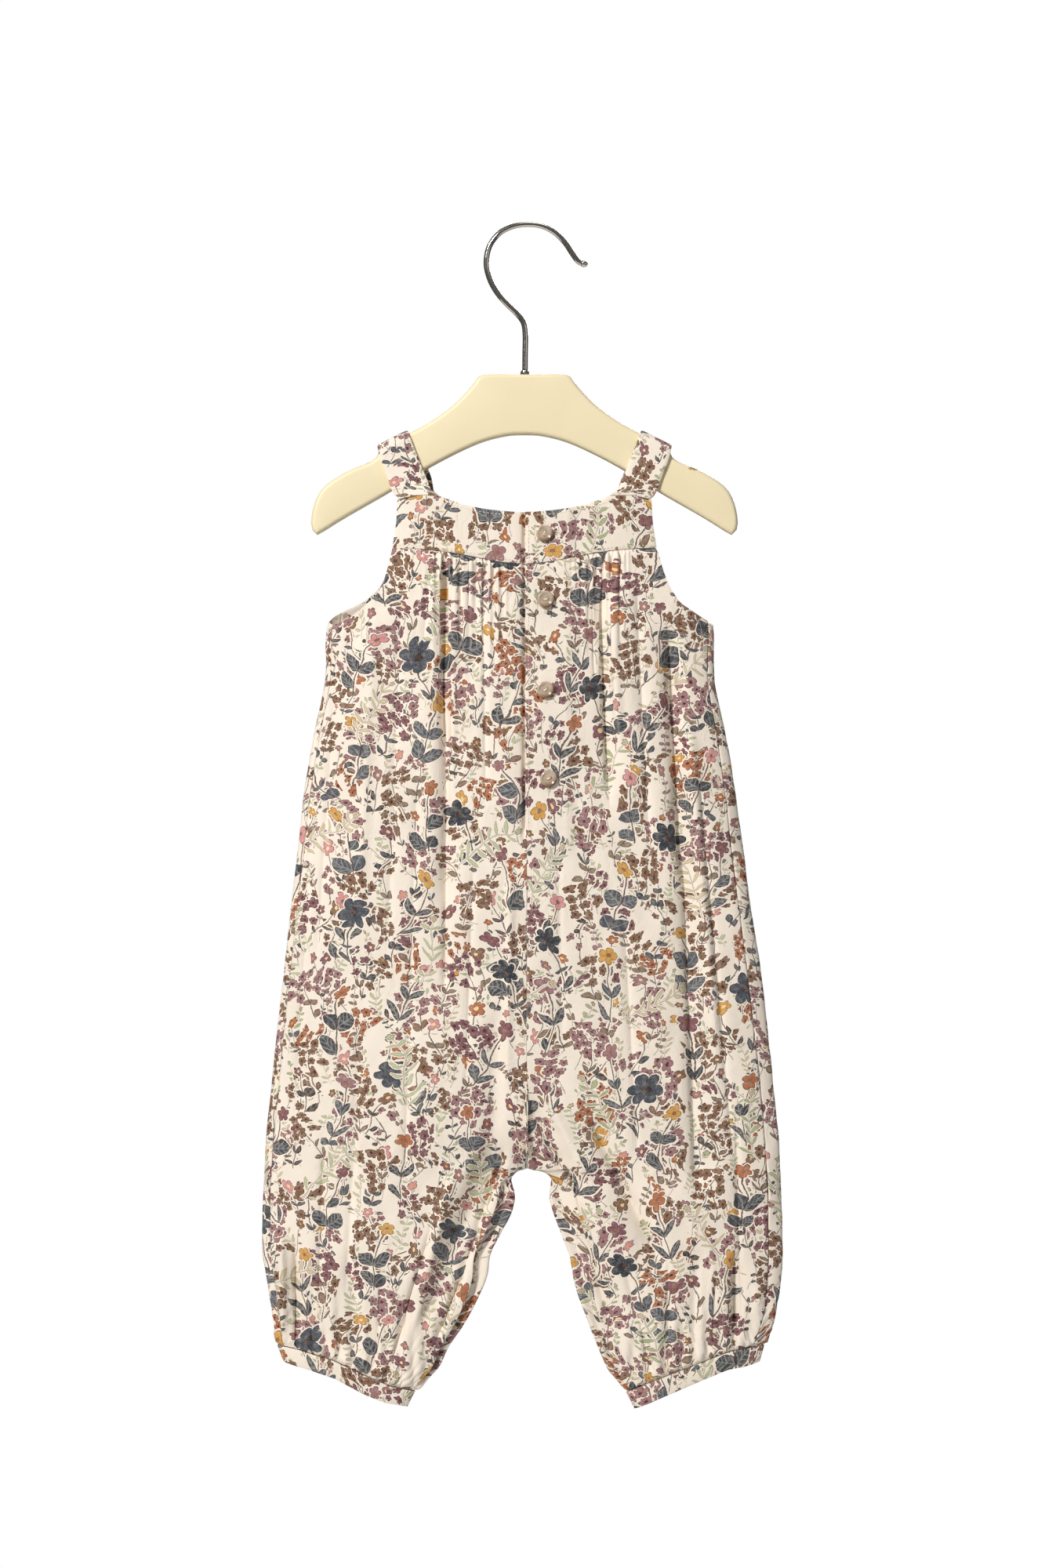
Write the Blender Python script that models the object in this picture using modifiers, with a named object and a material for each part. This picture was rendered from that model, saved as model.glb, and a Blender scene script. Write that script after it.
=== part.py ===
"""Baby overalls of thin printed cotton, hanging on a painted child's hanger with a wire hook.

X is the wearer's left-right axis as seen from the front, +Z is up and the front faces -Y.
The origin is at the top of the hook, on its inside, where a rail would carry it.
All sizes below are in millimetres. They become metres where the meshes are made.

Every cloth piece is cut from one garment surface. At each height the garment is a flat ring:
a front and a back half section that meet at the round side edge and, below the crotch, at
the round inner edge of the leg. Panels are stretches of those half sections, measured along
the cloth, so that neighbours meet at their seams.
"""

import math

import bmesh
import bpy
import numpy as np
from mathutils import Quaternion, Vector

MM = 0.001

# Cloth
WALL = 1.1  # one layer with its finish
DOUBLE_WALL = 2.0  # straps and cuffs, which are doubled
SEAM_GAP = 0.3
LEFT, RIGHT = -1, 1  # sides as seen from the front

# Section shape: a flat ring with round edges
EDGE_POWER = 2.6
SECTION_STEPS = 160
PROBE = 0.5  # step for measuring the surface's slope
HEIGHT_STEP = 1.0
TOP_OF_TABLE = -150.0
FOOT_OF_TABLE = -700.0
TOP_SEARCH = (-240.0, -186.0)  # heights between which a panel's top lies, and its foot
FOOT_SEARCH = (-696.0, -650.0)
SEARCH_STEP = 0.2

# Side edges: distance from the hanger's axis at each height
SIDE_EDGE = (
    # height, left, right
    (-150.0, 97.0, 97.0),
    (-188.0, 100.0, 100.0),
    (-212.0, 106.5, 105.0),
    (-232.0, 115.0, 110.4),
    (-265.0, 117.2, 111.6),
    (-300.0, 123.7, 118.6),
    (-336.0, 129.8, 124.6),
    (-373.0, 133.9, 129.3),
    (-431.0, 140.8, 137.6),
    (-502.0, 148.6, 146.3),
    (-540.0, 152.2, 149.6),
    (-574.0, 153.8, 151.4),
    (-602.0, 153.3, 151.4),
    (-624.0, 150.0, 149.6),
    (-641.0, 147.2, 146.7),
    (-656.0, 144.9, 140.6),
    (-670.0, 138.0, 134.0),
    (-700.0, 120.0, 120.0),
)

# Inner edges: distance from the hanger's axis, outward on each side. Above the crotch they are
# the centre seam, 1.4 mm right of the axis.
CENTRE_SEAM = 1.4
CROTCH = -552.7
CROTCH_GAP = 0.32  # more room on each side where the four panels meet
CROTCH_REACH = 14.0
INNER_EDGE = (
    # height, left, right
    (-150.0, -1.25, 1.55),
    (-552.7, -1.25, 1.55),
    (-555.2, 5.6, 9.0),
    (-559.0, 7.6, 15.4),
    (-569.0, 5.6, 14.6),
    (-579.0, 7.8, 16.6),
    (-591.0, 14.0, 21.6),
    (-602.0, 19.8, 26.2),
    (-617.0, 22.4, 28.8),
    (-630.0, 27.8, 32.4),
    (-644.0, 35.4, 37.6),
    (-658.0, 44.8, 43.6),
    (-670.0, 50.6, 49.0),
    (-683.0, 64.4, 59.6),
    (-700.0, 78.0, 70.0),
)

# Half depths of the ring, and how far it closes at its inner edge (0 whole front, 1 leg)
DEPTH = (
    # height, front, back, closing
    (-150.0, 11.6, 11.0, 0.0),
    (-190.0, 12.4, 11.6, 0.0),
    (-232.0, 14.0, 12.6, 0.0),
    (-300.0, 15.2, 13.4, 0.0),
    (-400.0, 15.6, 13.8, 0.0),
    (-480.0, 15.0, 13.8, 0.0),
    (-515.0, 14.6, 13.6, 0.12),
    (-538.0, 14.2, 13.4, 0.45),
    (-552.7, 13.8, 13.2, 1.0),
    (-600.0, 13.2, 12.8, 1.0),
    (-640.0, 12.6, 12.4, 1.0),
    (-700.0, 12.6, 12.4, 1.0),
)
CUFF_DEPTH = 7.4
CUFF_EASE = 34.0  # height over which the leg draws in to the cuff

# How far the back wraps round to the front, along the cloth
WRAP = (
    # height, left side seam, right side seam, left inseam, right inseam
    (-150.0, 3.5, 3.5, 0.0, 0.0),
    (-235.0, 5.0, 5.0, 0.0, 0.0),
    (-300.0, 5.5, 8.0, 0.0, 0.0),
    (-552.0, 6.5, 10.5, 0.0, 0.0),
    (-562.0, 6.5, 10.5, 5.0, 8.0),
    (-600.0, 6.5, 10.5, 6.5, 10.0),
    (-640.0, 6.0, 9.5, 4.5, 5.5),
    (-700.0, 5.0, 7.0, 3.0, 3.0),
)

# Yoke, neckline and armholes
NECK_LOWEST = -167.8
NECK_RISE = 0.00343  # the neckline is a parabola
STRAP_SEAM_INNER = 49.6
STRAP_SEAM = (
    # distance from the axis, height
    (49.6, -158.6),
    (62.0, -158.2),
    (74.2, -160.6),
)
BACK_NECK_DROP = 5.0
BACK_NECK_EASE = 18.0
YOKE_ROWS = 5
YOKE_STRAIGHT = 40.0  # its columns stand upright out to here, and lean with its side past it
YOKE_SEAM_SIDE = -188.5
YOKE_SEAM_DIP = 9.6
YOKE_SEAM_SPREAD = 40.0
YOKE_SIDE = (
    # height, distance from the axis
    (-158.0, 74.2),
    (-174.0, 75.2),
    (-190.0, 77.6),
)
ARMHOLE = {
    # distance from the axis, height; from the yoke seam to the side edge
    ("front", LEFT): (
        (77.6, -188.7), (79.2, -199.0), (82.6, -210.0), (87.9, -217.4), (96.6, -225.0),
        (103.0, -230.0), (109.9, -233.0), (115.0, -234.0),
    ),
    ("front", RIGHT): (
        (77.6, -188.7), (80.5, -200.0), (85.1, -211.8), (90.9, -220.4), (99.4, -226.2),
        (106.0, -230.2), (110.4, -232.8),
    ),
    ("back", LEFT): (
        (77.6, -188.7), (80.5, -202.6), (86.0, -212.3), (94.3, -219.6), (105.8, -225.2),
        (112.2, -228.4), (115.0, -231.6),
    ),
    ("back", RIGHT): (
        (77.6, -188.7), (80.7, -201.0), (85.4, -212.2), (91.2, -220.8), (99.8, -226.6),
        (106.2, -230.6), (110.4, -233.0),
    ),
}
HEM = {
    # distance from the axis, height; where leg and cuff meet
    LEFT: ((40.0, -684.0), (64.4, -682.6), (77.7, -679.7), (93.4, -673.2), (111.3, -664.6),
           (133.6, -657.8), (146.0, -655.4)),
    RIGHT: ((40.0, -688.0), (59.1, -683.4), (74.8, -676.6), (98.0, -667.6), (120.5, -659.0),
            (142.0, -655.4)),
}

# The buttoned lap: the right half runs over the left one and over the button stand
LAP_EDGE = 0.5
LAP_FOOT = -362.0
LAP_LIFT = 1.55
LAP_WIDTH = 24.0
LAP_FADE = 8.0
LAP_EDGE_FADE = 4.0
STAND_SEAM = 3.0  # where the left half ends and the button stand starts
STAND_TOP_DROP = 1.6

# Gathers: waves below the yoke and above the cuffs
YOKE_GATHERS = {LEFT: (10.0, 57.0), RIGHT: (27.5, 61.0)}
YOKE_GATHER_ENDS = 6.0  # length over which they die away at each end
YOKE_GATHER_PITCH = {"front": 4.8, "back": 7.6}
YOKE_GATHER_HEIGHT = 1.15
YOKE_GATHER_RISE = 0.45  # share of their height by which they stand out on the whole
YOKE_GATHER_DRIFT = (0.9, 7.3)  # unevenness of their spacing: turns of phase, and its pitch
YOKE_GATHER_REACH = 30.0
CUFF_GATHER_PITCH = 8.4
CUFF_GATHER_HEIGHT = 1.3
CUFF_GATHER_RISE = 0.5
CUFF_GATHER_DRIFT = (1.1, 9.1)
CUFF_GATHER_REACH = 26.0
GATHER_START = 4.0  # they are pressed flat where they enter the seam

# The largest folds. A trough goes in and a ridge out, across a straight line from its top to
# its foot.
FRONT_FOLDS = (
    # top x, top z, foot x, foot z, height, half width
    (-45.0, -206.0, -46.5, -400.0, -2.6, 6.5),
    (-50.5, -204.0, -53.0, -380.0, 1.6, 7.0),
    (-29.5, -204.0, -31.0, -265.0, -1.6, 3.6),
    (-99.0, -233.0, -104.0, -275.0, -1.8, 5.0),
    (46.0, -212.0, 51.0, -318.0, -2.6, 5.0),
    (58.0, -205.0, 63.0, -330.0, 1.6, 8.0),
    (84.5, -240.0, 92.0, -360.0, -3.6, 6.0),
    (93.0, -350.0, 104.0, -560.0, -2.2, 7.0),
    (-15.5, -462.0, -19.0, -545.0, -2.8, 6.0),
    (-17.0, -540.0, -58.0, -640.0, -5.0, 7.5),
    (-31.0, -548.0, -70.0, -630.0, 1.8, 8.0),
    (5.0, -505.0, 27.0, -556.0, -2.4, 5.5),
    (40.0, -520.0, 76.0, -604.0, -3.6, 7.5),
    (30.0, -540.0, 60.0, -612.0, 1.8, 7.0),
    (-134.0, -606.0, -135.0, -652.0, -2.6, 4.6),
    (-101.0, -610.0, -100.0, -660.0, -2.2, 6.5),
    (102.0, -600.0, 96.0, -658.0, -2.2, 6.5),
    (126.0, -606.0, 124.0, -652.0, -2.0, 5.5),
)
BACK_FOLDS = (
    # top x, top z, foot x, foot z, height, half width
    (-38.0, -206.0, -44.0, -392.0, -2.8, 7.0),
    (-71.0, -215.0, -80.0, -372.0, -2.2, 7.5),
    (0.0, -206.0, 3.0, -300.0, -1.8, 7.0),
    (36.0, -206.0, 42.0, -366.0, -2.6, 6.5),
    (74.0, -220.0, 86.0, -420.0, -2.8, 7.5),
    (-12.0, -470.0, -46.0, -604.0, -4.2, 8.0),
    (20.0, -480.0, 56.0, -600.0, -4.0, 8.0),
    (-92.0, -440.0, -100.0, -650.0, -2.4, 8.0),
    (98.0, -430.0, 100.0, -650.0, -2.4, 8.0),
)
FOLD_FADE = 24.0  # length over which a fold runs out at each end

# Straps
STRAP_EDGES = (
    # height, inner edge, outer edge
    (-161.0, 49.2, 74.4),
    (-156.0, 53.6, 77.2),
    (-147.0, 57.6, 80.4),
    (-137.0, 61.8, 84.4),
    (-126.0, 66.0, 87.0),
    (-118.0, 68.4, 86.6),
)
BACK_STRAP_SHIFT = {LEFT: 3.4, RIGHT: 0.6}  # the back end sits nearer the neck
STRAP_FRONT = 8.6  # distance of its outer face from the hanger's middle plane
STRAP_SHOULDER = 4.0  # how far below the wood's top the bend over it starts
STRAP_CLEAR = 0.75
STRAP_BEND_POWER = 4.2
STRAP_TOP_INNER, STRAP_TOP_OUTER = 68.6, 86.6
STRAP_FOOT_INNER, STRAP_FOOT_OUTER = 49.9, 74.0
STRAP_SETTLE = 0.3  # share of its height over which it leaves the yoke's surface
STRAP_SHIFT_SPREAD = 0.3
STRAP_ROWS = (0.0, 0.12, 0.3, 0.55, 0.8, 1.0)
STRAP_WIDTHS = (0.0, 0.25, 0.5, 0.75, 1.0)  # 0 inner edge, 1 outer edge
STRAP_BEND_ANGLES = (20, 40, 60, 80, 100, 120, 140, 160)

# Cuffs
CUFF = {
    # inner and outer end of the lower edge: distance from the axis and height
    LEFT: ((68.6, -692.0), (141.4, -665.6)),
    RIGHT: ((64.4, -693.2), (138.2, -665.4)),
}
CUFF_HEIGHT = 10.6
CUFF_FOOT_SHARE = 0.94  # depth of its foot for one at its top
CUFF_ROWS = (
    # share of its height, swell
    (0.0, 0.0),
    (0.35, 0.5),
    (0.75, 0.5),
    (1.0, 0.0),
)
CUFF_AROUND = 36

# Armhole facings, on the inside of the back
FACING_WIDTH = 8.5
FACING_WALL = 1.0
FACING_BEHIND = 1.25 * WALL + SEAM_GAP  # the wall is deeper along Y where it slants
FACING_START, FACING_END = 80.4, 105.0
FACING_INSET = 0.4
FACING_STEP = 2.0  # half the length over which the armhole's slope is measured
FACING_COLUMNS = 12

# Buttons
BUTTONS = (
    # x, z, turn of its two holes in degrees
    (11.7, -180.5, 82.0),
    (12.4, -219.2, 8.0),
    (12.2, -271.9, 35.0),
    (14.1, -323.6, 14.0),
)
BUTTON_RADIUS = 5.0
BUTTON_THICKNESS = 2.4
BUTTON_DISH_RADIUS = 3.3
BUTTON_DISH_DEPTH = 0.6
BUTTON_HOLE_RADIUS = 0.75
BUTTON_HOLE_SPACING = 2.4
BUTTON_SIDES, BUTTON_HOLE_SIDES = 20, 8

# Hanger
HANGER_THICKNESS = 12.0
HANGER_ROUNDING = 3.0
HANGER_HALF = (
    # distance from the axis, height; from the top's middle round to the underside's middle
    (0.0, -86.8), (23.6, -86.8), (28.2, -90.2), (33.4, -96.4), (42.6, -105.6), (55.0, -114.4),
    (68.3, -121.7), (83.0, -129.0), (88.0, -136.6), (102.4, -143.0), (114.0, -149.8),
    (120.0, -155.8), (123.8, -165.0), (125.0, -175.4), (122.6, -180.0), (119.6, -179.4),
    (105.0, -170.4), (79.6, -155.8), (60.0, -143.6), (42.0, -133.8), (25.0, -126.2),
    (10.0, -122.4), (0.0, -121.9),
)
HOOK_RADIUS = 1.65
HOOK_ROUTE = (
    # x, z; the wire's middle, from the collar up and over to its free end
    (0.3, -84.8), (0.4, -74.0), (0.5, -63.0), (-0.6, -56.0), (-4.6, -50.6), (-9.6, -45.8),
    (-15.2, -39.6), (-20.0, -31.4), (-22.4, -21.6), (-20.6, -11.4), (-14.8, -3.6),
    (-7.0, 0.4), (1.2, 1.7), (9.4, 0.9), (17.0, -2.6), (23.6, -8.8), (28.8, -16.6),
    (32.2, -20.6), (36.2, -21.7),
)
HOOK_BALL = 1.28  # the free end swells by this factor
HOOK_POINTS = 38
COLLAR_PROFILE = (
    # radius, height above the wood; the outer side from the top down
    (2.05, 2.6), (2.5, 2.2), (2.7, 1.0), (3.1, 0.3), (2.05, 0.3),
)

# Mesh density: rows of a panel as shares of the way down to the first level, as levels, and as
# shares of the way on to the hem. Gathered rows have GATHER_COLUMNS points for one elsewhere.
GATHER_COLUMNS = 3
TOP_BAND = (0.0, 0.08, 0.24, 0.6)
ROW_LEVELS = (
    -264.0, -300.0, -340.0, -354.0, -358.0, -364.0, -371.0, -410.0, -450.0, -486.0, -512.0,
    -532.0, -545.0, -552.7, -555.4, -561.0, -570.0, -582.0, -597.0, -612.0, -628.0,
)
FOOT_BAND = (0.4, 0.8, 1.0)
TOP_GATHER_ROWS = 3
FOOT_GATHER_ROWS = 3
PANEL_COLUMNS = {"front": 18, "back": 16}
COLUMN_DENSITY = (
    # share of a panel's width from its inner edge, density of its columns
    (0.0, 3.4),
    (0.05, 3.4),
    (0.08, 2.2),
    (0.5, 2.2),
    (0.52, 0.9),
    (0.88, 0.9),
    (0.91, 4.0),
    (1.0, 4.0),
)


def smooth_table(rows):
    """A smooth function of the first column for each other column, through every row."""
    rows = np.array(sorted(rows), float)
    at = rows[:, 0]

    def curve(values):
        slope = np.diff(values) / np.diff(at)
        tangent = np.concatenate([slope[:1], (slope[:-1] + slope[1:]) / 2, slope[-1:]])
        turns = slope[:-1] * slope[1:] <= 0
        tangent[1:-1][turns] = 0

        def value(where):
            where = np.clip(np.asarray(where, float), at[0], at[-1])
            i = np.clip(np.searchsorted(at, where) - 1, 0, len(at) - 2)
            length = at[i + 1] - at[i]
            t = (where - at[i]) / length
            rise = values[i + 1] - values[i]
            a = tangent[i] * length
            b = tangent[i + 1] * length
            return values[i] + t * (a + t * (3 * rise - 2 * a - b + t * (a + b - 2 * rise)))

        return value

    return [curve(column) for column in rows.T[1:]]


def ease(t):
    """0 to 1 with level ends."""
    t = np.clip(t, 0, 1)
    return t * t * (3 - 2 * t)


def edge_round(share):
    """Share of the depth at a share of the width in from a round edge."""
    return np.sqrt(np.clip(1 - (1 - np.clip(share, 0, 1)) ** EDGE_POWER, 0, 1))


SIDE_LEFT, SIDE_RIGHT = smooth_table(SIDE_EDGE)
INNER_LEFT, INNER_RIGHT = smooth_table(INNER_EDGE)
DEPTH_FRONT, DEPTH_BACK, CLOSING = smooth_table(DEPTH)
SIDE_WRAP_LEFT, SIDE_WRAP_RIGHT, INNER_WRAP_LEFT, INNER_WRAP_RIGHT = smooth_table(WRAP)
SIDE_OUT = {LEFT: SIDE_LEFT, RIGHT: SIDE_RIGHT}
INNER_OUT = {LEFT: INNER_LEFT, RIGHT: INNER_RIGHT}
SIDE_WRAP = {LEFT: SIDE_WRAP_LEFT, RIGHT: SIDE_WRAP_RIGHT}
INNER_WRAP = {LEFT: INNER_WRAP_LEFT, RIGHT: INNER_WRAP_RIGHT}
YOKE_SIDE_AT = smooth_table(YOKE_SIDE)[0]
STRAP_INNER_AT, STRAP_OUTER_AT = smooth_table(STRAP_EDGES)
STRAP_SEAM_AT = smooth_table(STRAP_SEAM)[0]


def yoke_seam(x):
    """Height of the seam below the yoke, which dips towards the centre."""
    return YOKE_SEAM_SIDE - YOKE_SEAM_DIP * np.exp(-((np.asarray(x) / YOKE_SEAM_SPREAD) ** 2))


def neckline(x):
    """Height of the yoke's top edge: the neck's curve, then the strap seam."""
    x = np.abs(x)
    return np.where(x < STRAP_SEAM_INNER, NECK_LOWEST + NECK_RISE * x * x, STRAP_SEAM_AT(x))


def fold_depth(folds, x, z):
    """How far the folds lift the cloth outward at (x, z)."""
    lift = np.zeros(np.broadcast(x, z).shape)
    for top_x, top_z, foot_x, foot_z, height, half_width in folds:
        length = math.hypot(foot_x - top_x, foot_z - top_z)
        along_x, along_z = (foot_x - top_x) / length, (foot_z - top_z) / length
        along = (x - top_x) * along_x + (z - top_z) * along_z
        across = (x - top_x) * along_z - (z - top_z) * along_x
        ends = ease(along / FOLD_FADE + 0.5) * ease((length - along) / FOLD_FADE + 0.5)
        lift = lift + height * ends * np.exp(-((across / half_width) ** 2))
    return lift


def lap_lift(x, z):
    """How far the buttoned lap stands in front of what it covers."""
    return LAP_LIFT * ease((LAP_WIDTH + LAP_FADE - x) / LAP_FADE) * ease((z - LAP_FOOT) / LAP_FADE + 1)


def gather_fade(away, reach):
    """Share of the gathers' height at a distance from their seam."""
    rise = ease(away / GATHER_START) * np.exp(-np.clip(away - GATHER_START, 0, None) / reach)
    return rise * ease(3.0 - 1.2 * away / reach)


def gathers(face, side, x, z, hem):
    """Waves of the gathered cloth below the yoke and above the cuffs."""
    away = np.abs(x)
    below = yoke_seam(x) - z
    start, end = YOKE_GATHERS[side] if face == "front" else YOKE_GATHERS[LEFT]
    window = ease((away - start) / YOKE_GATHER_ENDS) * ease((end - away) / YOKE_GATHER_ENDS)
    fade = gather_fade(below, YOKE_GATHER_REACH)
    drift, pitch = YOKE_GATHER_DRIFT
    phase = 2 * math.pi * away / YOKE_GATHER_PITCH[face] + drift * np.sin(away / pitch)
    top = YOKE_GATHER_HEIGHT * window * fade * (YOKE_GATHER_RISE + np.sin(phase))
    above = z - hem
    fade = gather_fade(above, CUFF_GATHER_REACH)
    drift, pitch = CUFF_GATHER_DRIFT
    phase = 2 * math.pi * away / CUFF_GATHER_PITCH + drift * np.sin(away / pitch + side)
    return top + CUFF_GATHER_HEIGHT * fade * (CUFF_GATHER_RISE + np.sin(phase))


def hem_height(side, x):
    """Height of the seam between leg and cuff."""
    rows = np.array(HEM[side])
    return np.interp(np.abs(x), rows[:, 0], rows[:, 1])


class HalfSection:
    """One face of one half of the garment: points by height and by length along the cloth."""

    def __init__(self, face, side):
        self.face, self.side = face, side
        self.out = -1 if face == "front" else 1
        self.heights = np.arange(FOOT_OF_TABLE, TOP_OF_TABLE + HEIGHT_STEP / 2, HEIGHT_STEP)
        share = (1 - np.cos(np.linspace(0, math.pi, SECTION_STEPS + 1))) / 2
        depth_at = DEPTH_FRONT if face == "front" else DEPTH_BACK
        inner = INNER_OUT[side](self.heights)[:, None]
        width = SIDE_OUT[side](self.heights)[:, None] - inner
        closing = CLOSING(self.heights)[:, None]
        away = inner + share * width
        depth = depth_at(self.heights)[:, None] * edge_round(1 - share)
        depth = depth * (1 - closing + closing * edge_round(share))
        steps = np.hypot(np.diff(away, axis=1), np.diff(depth, axis=1))
        run = np.concatenate([np.zeros((len(away), 1)), np.cumsum(steps, axis=1)], axis=1)
        self.length = run[:, -1]
        even = np.linspace(0, 1, SECTION_STEPS + 1)
        self.away = np.array([np.interp(even, r / r[-1], a) for r, a in zip(run, away)])
        self.depth = np.array([np.interp(even, r / r[-1], d) for r, d in zip(run, depth)])

    def arc_length(self, z):
        return np.interp(z, self.heights, self.length)

    def look_up(self, grid, share, z):
        row = np.clip((np.asarray(z) - FOOT_OF_TABLE) / HEIGHT_STEP, 0, len(self.heights) - 1.001)
        column = np.clip(np.asarray(share), 0, 1) * (SECTION_STEPS - 0.001)
        i, j = row.astype(int), column.astype(int)
        a, b = row - i, column - j
        low = grid[i, j] * (1 - b) + grid[i, j + 1] * b
        high = grid[i + 1, j] * (1 - b) + grid[i + 1, j + 1] * b
        return low * (1 - a) + high * a

    def points(self, share, z, lap=False):
        """Points of the outer surface at a share of the arc from the inner edge outward."""
        share, z = np.broadcast_arrays(np.asarray(share, float), np.asarray(z, float))
        x = self.side * self.look_up(self.away, share, z)
        depth = self.look_up(self.depth, share, z)
        return self.dressed(x, depth, z, lap)

    def dressed(self, x, depth, z, lap):
        """Adds the cuff's draw, the folds and the gathers to the plain section."""
        hem = hem_height(self.side, x)
        draw = ease((z - hem) / CUFF_EASE)
        full = DEPTH_FRONT(z) if self.face == "front" else DEPTH_BACK(z)
        depth = depth * (draw + (1 - draw) * CUFF_DEPTH / full)
        folds = FRONT_FOLDS if self.face == "front" else BACK_FOLDS
        relief = fold_depth(folds, x, z) + gathers(self.face, self.side, x, z, hem)
        below_yoke = ease((yoke_seam(x) - z) / GATHER_START)
        relief = relief * below_yoke * ease((z - hem) / GATHER_START) * ease(depth / full * 1.6)
        depth = depth + relief
        if lap:
            depth = depth + lap_lift(x, z)
        return np.stack([x, self.out * depth, z], axis=-1)

    def at_x(self, x, z, lap=False):
        """Points of the outer surface above the crotch, by their place seen from the front."""
        x, z = np.broadcast_arrays(np.asarray(x, float), np.asarray(z, float))
        inner, outer = INNER_OUT[self.side](z), SIDE_OUT[self.side](z)
        full = DEPTH_FRONT(z) if self.face == "front" else DEPTH_BACK(z)
        depth = full * edge_round(1 - (self.side * x - inner) / (outer - inner))
        return self.dressed(x, depth, z, lap)


HALVES = {(face, side): HalfSection(face, side) for face in ("front", "back") for side in (LEFT, RIGHT)}
OTHER_FACE = {"front": "back", "back": "front"}


class Panel:
    """A front or back half of the garment with its leg, by share of its width and height."""

    def __init__(self, face, side):
        self.face, self.side = face, side
        self.lap = face == "front" and side == RIGHT
        self.own, self.other = HALVES[face, side], HALVES[OTHER_FACE[face], side]

    def span(self, z):
        """First and last length along the cloth at height z, from the half section's inner edge."""
        length = self.own.arc_length(z)
        side_wrap, inner_wrap = SIDE_WRAP[self.side](z), INNER_WRAP[self.side](z)
        # The centre seam's gap is in INNER_EDGE.
        closing_gap = CLOSING(z) * SEAM_GAP / 2 + CROTCH_GAP * ease(1 - abs(z - CROTCH) / CROTCH_REACH)
        if self.face == "back":
            return closing_gap - inner_wrap, length + side_wrap - SEAM_GAP / 2
        above_lap_foot = ease((z - LAP_FOOT - LAP_EDGE_FADE) / LAP_EDGE_FADE)
        reach_over = LAP_EDGE - CENTRE_SEAM if self.lap else CENTRE_SEAM - STAND_SEAM
        first = inner_wrap + closing_gap + above_lap_foot * reach_over
        return first, length - side_wrap - SEAM_GAP / 2

    def at_reach(self, reach, z):
        """Points at a length along the cloth. Past the side edge, and before the inner edge of a
        leg, they run on round to the other face."""
        length, other_length = self.own.arc_length(z), self.other.arc_length(z)
        points = self.own.points(reach / length, z, self.lap)
        past = (reach > length)[..., None]
        before = ((reach < 0) & (z < CROTCH))[..., None]
        points = np.where(past, self.other.points(1 - (reach - length) / other_length, z), points)
        points = np.where(before, self.other.points(-reach / other_length, z), points)
        over = ((reach < 0) & (z >= CROTCH))[..., None]
        inner = INNER_OUT[self.side](z)
        return np.where(over, self.own.at_x(self.side * (inner + reach), z, self.lap), points)

    def at_share(self, share, z):
        share, z = np.broadcast_arrays(np.asarray(share, float), np.asarray(z, float))
        first, last = self.span(z)
        return self.at_reach(first + share * (last - first), z)

    def inner_face(self, share, z, wall):
        """Points one wall inside the outer ones, square to the surface."""
        share, z = np.broadcast_arrays(np.asarray(share, float), np.asarray(z, float))
        first, last = self.span(z)
        reach = first + share * (last - first)
        least = np.where(z >= CROTCH, first, reach - 1)
        along = self.at_reach(reach + PROBE, z) - self.at_reach(np.maximum(reach - PROBE, least), z)
        down = self.at_reach(reach, z - PROBE) - self.at_reach(reach, z + PROBE)
        normal = np.cross(along, down)
        normal /= np.linalg.norm(normal, axis=-1)[..., None]
        turn = -1 if (self.face == "front") == (self.side == LEFT) else 1
        return self.at_reach(reach, z) + normal * wall * turn

    def top(self, share):
        """Height where a column meets the yoke seam or the armhole."""
        z = np.arange(TOP_SEARCH[0], TOP_SEARCH[1], SEARCH_STEP)
        away = np.abs(self.at_share(share, z)[:, 0])
        rows = np.array(ARMHOLE[self.face, self.side])
        limit = np.where(away < rows[0, 0], yoke_seam(away), np.interp(away, rows[:, 0], rows[:, 1]))
        first, last = self.span(z)
        past = first + share * (last - first) - self.own.arc_length(z)
        limit = np.where(past > 0, rows[-1, 1] - past / 3, limit)
        return z[z <= limit].max() - SEAM_GAP / 2

    def foot(self, share):
        """Height where a column meets the cuff."""
        z = np.arange(FOOT_SEARCH[0], FOOT_SEARCH[1], SEARCH_STEP)
        away = np.abs(self.at_share(share, z)[:, 0])
        return z[z >= hem_height(self.side, away)].min() + SEAM_GAP / 2


PANELS = {key: Panel(*key) for key in HALVES}


def panel_columns(count):
    """Shares of a panel's width, closer together at its round edges and where it is gathered."""
    shares = np.linspace(0, 1, 401)
    density = np.interp(shares, *np.transpose(COLUMN_DENSITY))
    run = np.concatenate([[0], np.cumsum((density[1:] + density[:-1]) / 2)])
    coarse = np.interp(np.linspace(0, 1, count), run / run[-1], shares)
    fine = np.arange(GATHER_COLUMNS * (count - 1) + 1) / GATHER_COLUMNS
    return np.interp(fine, np.arange(count), coarse)


def link_mesh(name, mesh, material):
    piece = bpy.data.objects.new(name, mesh)
    GARMENT.objects.link(piece)
    mesh.shade_smooth()
    mesh.materials.append(material)
    return piece


def lofted(name, grid, wall, material, closed=False):
    """A wall through a grid of outer points, thickened towards the inside."""
    rows, columns = grid.shape[:2]
    mesh = bpy.data.meshes.new(name)
    shape = bmesh.new()
    points = [[shape.verts.new(grid[i, j] * MM) for j in range(columns)] for i in range(rows)]
    for i in range(rows - 1):
        for j in range(columns if closed else columns - 1):
            k = (j + 1) % columns
            shape.faces.new((points[i][j], points[i + 1][j], points[i + 1][k], points[i][k]))
    shape.to_mesh(mesh)
    shape.free()
    piece = link_mesh(name, mesh, material)
    solidify = piece.modifiers.new("Wall", "SOLIDIFY")
    solidify.thickness = wall * MM
    solidify.offset = -1
    solidify.use_even_offset = True
    return piece


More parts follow.
